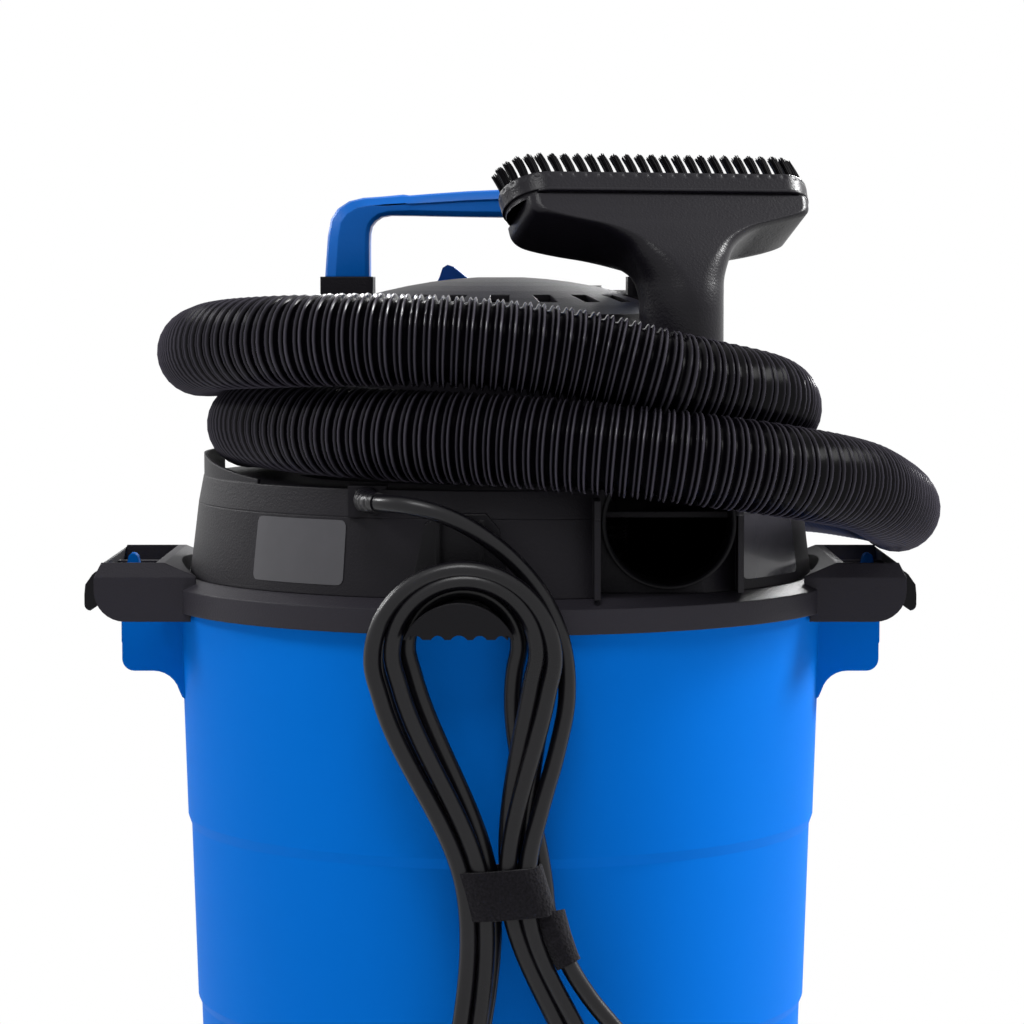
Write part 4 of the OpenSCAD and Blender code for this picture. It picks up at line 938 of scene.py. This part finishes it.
def makeTufts():
    # hairs stand in bundles that lean towards the short end and spread a little at the tip
    chance = random.Random(11)
    points, faces = [], []
    tufts = 2 * (brushValues["alongTufts"] + brushValues["roundTufts"])
    for number in range(tufts):
        x, y = roundMouth(number, nozzleValues["width"] - tuftValues["inset"])
        x += tuftValues["farShift"] if y > 3 else 0.0
        out = tuftValues["out"] if y > 0 else -tuftValues["out"]
        for hair in range(tuftValues["hairs"]):
            turn = hair * 2.39996
            reach = tuftValues["radius"] * math.sqrt((hair + 0.5) / tuftValues["hairs"])
            dx, dy = reach * math.cos(turn), reach * math.sin(turn)
            tall = tuftValues["long"] - 0.5 * chance.random() - 0.9 * (dx / tuftValues["radius"]) ** 2
            lean = tuftValues["lean"] + 0.5 * (chance.random() - 0.5)
            swing = out * tuftValues["swing"] + 0.6 * (chance.random() - 0.5)
            thick = tuftValues["thick"]
            start = len(points)
            for share, grow in ((-0.05, 1.0), (0.45, 1.0), (0.8, 0.9), (1.0, 0.55)):
                bend = share * share
                cx = x + dx * (1 + tuftValues["spread"] * share) + lean * (0.55 * share + 0.45 * bend)
                cy = y + dy * (1 + tuftValues["spread"] * share) + swing * bend
                for k in range(4):
                    side = math.pi * (k + 0.5) / 2
                    points.append(atMouth(cx + thick * grow * math.cos(side), cy + thick * grow * math.sin(side),
                                          brushValues["top"] + tall * share))
            for row in range(3):
                for k in range(4):
                    a, b = start + row * 4 + k, start + row * 4 + (k + 1) % 4
                    faces.append((a, b, b + 4, a + 4))
            faces.append(tuple(start + 12 + k for k in range(4)))
            faces.append(tuple(start + 3 - k for k in range(4)))
    brush = meshPiece("nylonTufts", points, faces)
    return finishPiece(brush, "nozzle", "nylonHair", 60, ["brush_bristles"])


makeBrushFrame()
makeTufts()
print("nozzle and brush made")


# Carry handle: a bar with broad bevels, thicker at its two corners

# From the middle out: outer point, inner point, half width, outer bevel, inner bevel, finger dip
handleValues = {"edge": 0.9, "stations": [
    ((0, 43), (0, 29.5), 13.4, 4.6, 2.6, 0.9), ((16, 42.3), (16, 29.7), 13.4, 4.6, 2.6, 0.9),
    ((32, 41.2), (32, 30.0), 13.4, 4.6, 2.6, 0.9), ((45, 40.2), (44, 30.3), 13.4, 4.5, 2.6, 0.6),
    ((48, 40.6), (46.5, 30.3), 14.3, 5.0, 2.4, 0.2), ((59, 39.6), (54.5, 30.4), 14.5, 5.2, 2.2, 0.0),
    ((68, 39.0), (59, 29.6), 14.5, 5.4, 2.0, 0.0), ((75, 37.3), (62, 27.6), 14.5, 5.5, 2.0, 0.0),
    ((80.6, 33.6), (64, 25), 14.5, 5.5, 2.0, 0.0), ((84, 28.4), (64.8, 21.6), 14.5, 5.5, 2.0, 0.0),
    ((85.6, 20), (65, 17), 14.5, 5.5, 2.0, 0.0), ((87, 0), (65, 0), 14.5, 5.5, 2.0, 0.0)]}


def handleRing(station, side):
    (x1, z1), (x2, z2), half, outer, inner, dip = station
    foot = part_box("carry_handle")[0].z
    thick = math.hypot(x2 - x1, z2 - z1)
    flat = [(outer * 0.18, half - outer * 0.62), (outer, half), (thick * 0.42, half - dip), (thick * 0.62, half - dip),
            (thick - inner, half - dip * 0.6), (thick, half - inner)]
    ring = [(0, half - outer)] + flat
    ring += [(depth, -across) for depth, across in reversed(flat)] + [(0, -half + outer)]
    spots = []
    for depth, across in ring:
        share = depth / thick
        spots.append(Vector((side * (x1 + (x2 - x1) * share) * mm, across * mm, foot + (z1 + (z2 - z1) * share) * mm)))
    return spots


def makeHandle():
    stations = handleValues["stations"]
    rings = [handleRing(s, -1) for s in reversed(stations)] + [handleRing(s, 1) for s in stations[1:]]
    handle = loft("carryHandle", rings)
    applyModifier(handle, "BEVEL", width=handleValues["edge"] * mm, segments=3, limit_method="ANGLE",
                  angle_limit=math.radians(28))
    return finishPiece(handle, "head", "gripBlue", 24, ["carry_handle"])


makeHandle()
print("handle made")


# Blank films, where the housing carries its two labels

filmValues = {"thick": 0.25, "corner": 3.0, "across": 28, "up": 12, "narrowing": 4.5,
              "left": {"from": -139.0, "to": -118.0, "low": 385.5, "high": 415.5},
              "right": {"from": -42.0, "to": -21.5, "low": 385.5, "high": 415.5}}


def housingRadius(z):
    # the housing narrows from its foot to its shoulder
    low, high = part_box("lower_housing")
    foot = high.x
    return foot - filmValues["narrowing"] * mm * (z - low.z) / (high.z - low.z)


def makeFilm(name, first, last, low, high):
    sheet = startPiece("grid", name, x_subdivisions=filmValues["across"], y_subdivisions=filmValues["up"], size=2)
    useAlone(sheet)
    corner = filmValues["corner"]
    radius = housingRadius((low + high) / 2 * mm) / mm
    wide = math.radians(abs(last - first)) * radius
    for vert in sheet.data.vertices:
        u, v = (vert.co.x + 1) / 2, (vert.co.y + 1) / 2
        along, rise = u * wide, v * (high - low)
        inX = max(corner - along, along - (wide - corner), 0)
        inZ = max(corner - rise, rise - (high - low - corner), 0)
        if inX and inZ:
            reach = math.hypot(inX, inZ)
            if reach > corner:
                pull = 1 - corner / reach
                along += math.copysign(inX * pull, wide / 2 - along)
                rise += math.copysign(inZ * pull, (high - low) / 2 - rise)
        turn = math.radians(first + (last - first) * along / wide)
        z = (low + rise) * mm
        r = housingRadius(z) + filmValues["thick"] * mm
        vert.co = (r * math.cos(turn), r * math.sin(turn), z)
    bpy.ops.object.mode_set(mode="EDIT")
    faceOutwards()
    applyModifier(sheet, "SOLIDIFY", thickness=filmValues["thick"] * mm * 0.9, offset=-1)
    return finishPiece(sheet, "head", "blankFilm", 30)


for side in ("left", "right"):
    film = filmValues[side]
    makeFilm("blankFilm" + side.title(), film["from"], film["to"], film["low"], film["high"])
print("blank films made")


# Stage, lamps and world

stageValues = {"floor": 8.0, "world": 0.27, "tone": (0.92, 0.95, 1.0), "shadowFrom": 0.30, "shadowTo": 0.62}
lamps = [
    {"name": "keyLeft", "place": (-1.7, 0.05, 1.45), "size": 0.4, "power": 19},
    {"name": "keyRight", "place": (1.7, 0.4, 1.5), "size": 0.4, "power": 62},
    {"name": "topSoft", "place": (-0.1, -1.2, 1.9), "size": 0.7, "power": 15},
    {"name": "rimRight", "place": (0.75, 1.8, 1.35), "size": 0.6, "power": 45},
    {"name": "rimLeft", "place": (-1.3, 1.1, 1.1), "size": 0.7, "power": 10}]


def seenDirectly(look):
    # one for the camera, and for rays that a shiny or clear surface sends on
    share = look.node("ShaderNodeLightPath", out="Is Camera Ray")
    for kind in ("Is Glossy Ray", "Is Transmission Ray"):
        share = share.maths("MAXIMUM", share, look.node("ShaderNodeLightPath", out=kind))
    return share


def makeFloor():
    floor = startPiece("plane", "floor", size=stageValues["floor"], location=(0, 0, 0))
    look = Look("paleFloor")
    grain = look.noise(30, 3)
    look.set(color=look.blendTones(grain, (0.90, 0.90, 0.90), (0.93, 0.93, 0.93)), rough=0.9)
    reach = look.node("ShaderNodeVectorMath", {"operation": "LENGTH"},
                      {0: look.node("ShaderNodeTexCoord", out="Object")}, out="Value")
    near, far = stageValues["shadowFrom"], stageValues["shadowTo"]
    away = look.node("ShaderNodeMapRange", {"interpolation_type": "SMOOTHSTEP"},
                     {"Value": reach, "From Min": near, "From Max": far})
    white = look.node("ShaderNodeEmission", {}, {"Color": (1, 1, 1), "Strength": 1.0})
    mixed = look.node("ShaderNodeMixShader", {}, {0: seenDirectly(look) * away, 2: white})
    look.tree.links.new(look.shader.outputs[0], mixed.socket.node.inputs[1])
    look.tree.links.new(mixed.socket, look.tree.nodes["Material Output"].inputs["Surface"])
    floor.data.materials.append(look.material)


def makeWorld():
    world = bpy.data.worlds.new("studio")
    bpy.context.scene.world = world
    world.use_nodes = True
    tree = world.node_tree
    tree.nodes.clear()
    out = tree.nodes.new("ShaderNodeOutputWorld")
    mix = tree.nodes.new("ShaderNodeMixShader")
    soft = tree.nodes.new("ShaderNodeBackground")
    white = tree.nodes.new("ShaderNodeBackground")
    rays = tree.nodes.new("ShaderNodeLightPath")
    share = rays.outputs["Is Camera Ray"]
    for kind in ("Is Glossy Ray", "Is Transmission Ray"):
        most = tree.nodes.new("ShaderNodeMath")
        most.operation = "MAXIMUM"
        tree.links.new(share, most.inputs[0])
        tree.links.new(rays.outputs[kind], most.inputs[1])
        share = most.outputs[0]
    soft.inputs[0].default_value = (*stageValues["tone"], 1)
    soft.inputs[1].default_value = stageValues["world"]
    white.inputs[0].default_value = (1, 1, 1, 1)
    tree.links.new(share, mix.inputs[0])
    tree.links.new(soft.outputs[0], mix.inputs[1])
    tree.links.new(white.outputs[0], mix.inputs[2])
    tree.links.new(mix.outputs[0], out.inputs[0])


def addLamps():
    for lamp in lamps:
        bpy.ops.object.light_add(type="AREA", location=lamp["place"])
        light = bpy.context.object
        light.name = lamp["name"]
        light.data.size = lamp["size"]
        light.data.energy = lamp["power"]
        aim = Vector((0, 0, 0.35)) - Vector(lamp["place"])
        light.rotation_euler = aim.to_track_quat("-Z", "Y").to_euler()
    clearSelection()


makeFloor()
makeWorld()
addLamps()
bpy.context.scene.view_settings.view_transform = "Standard"
print("stage and lamps set")
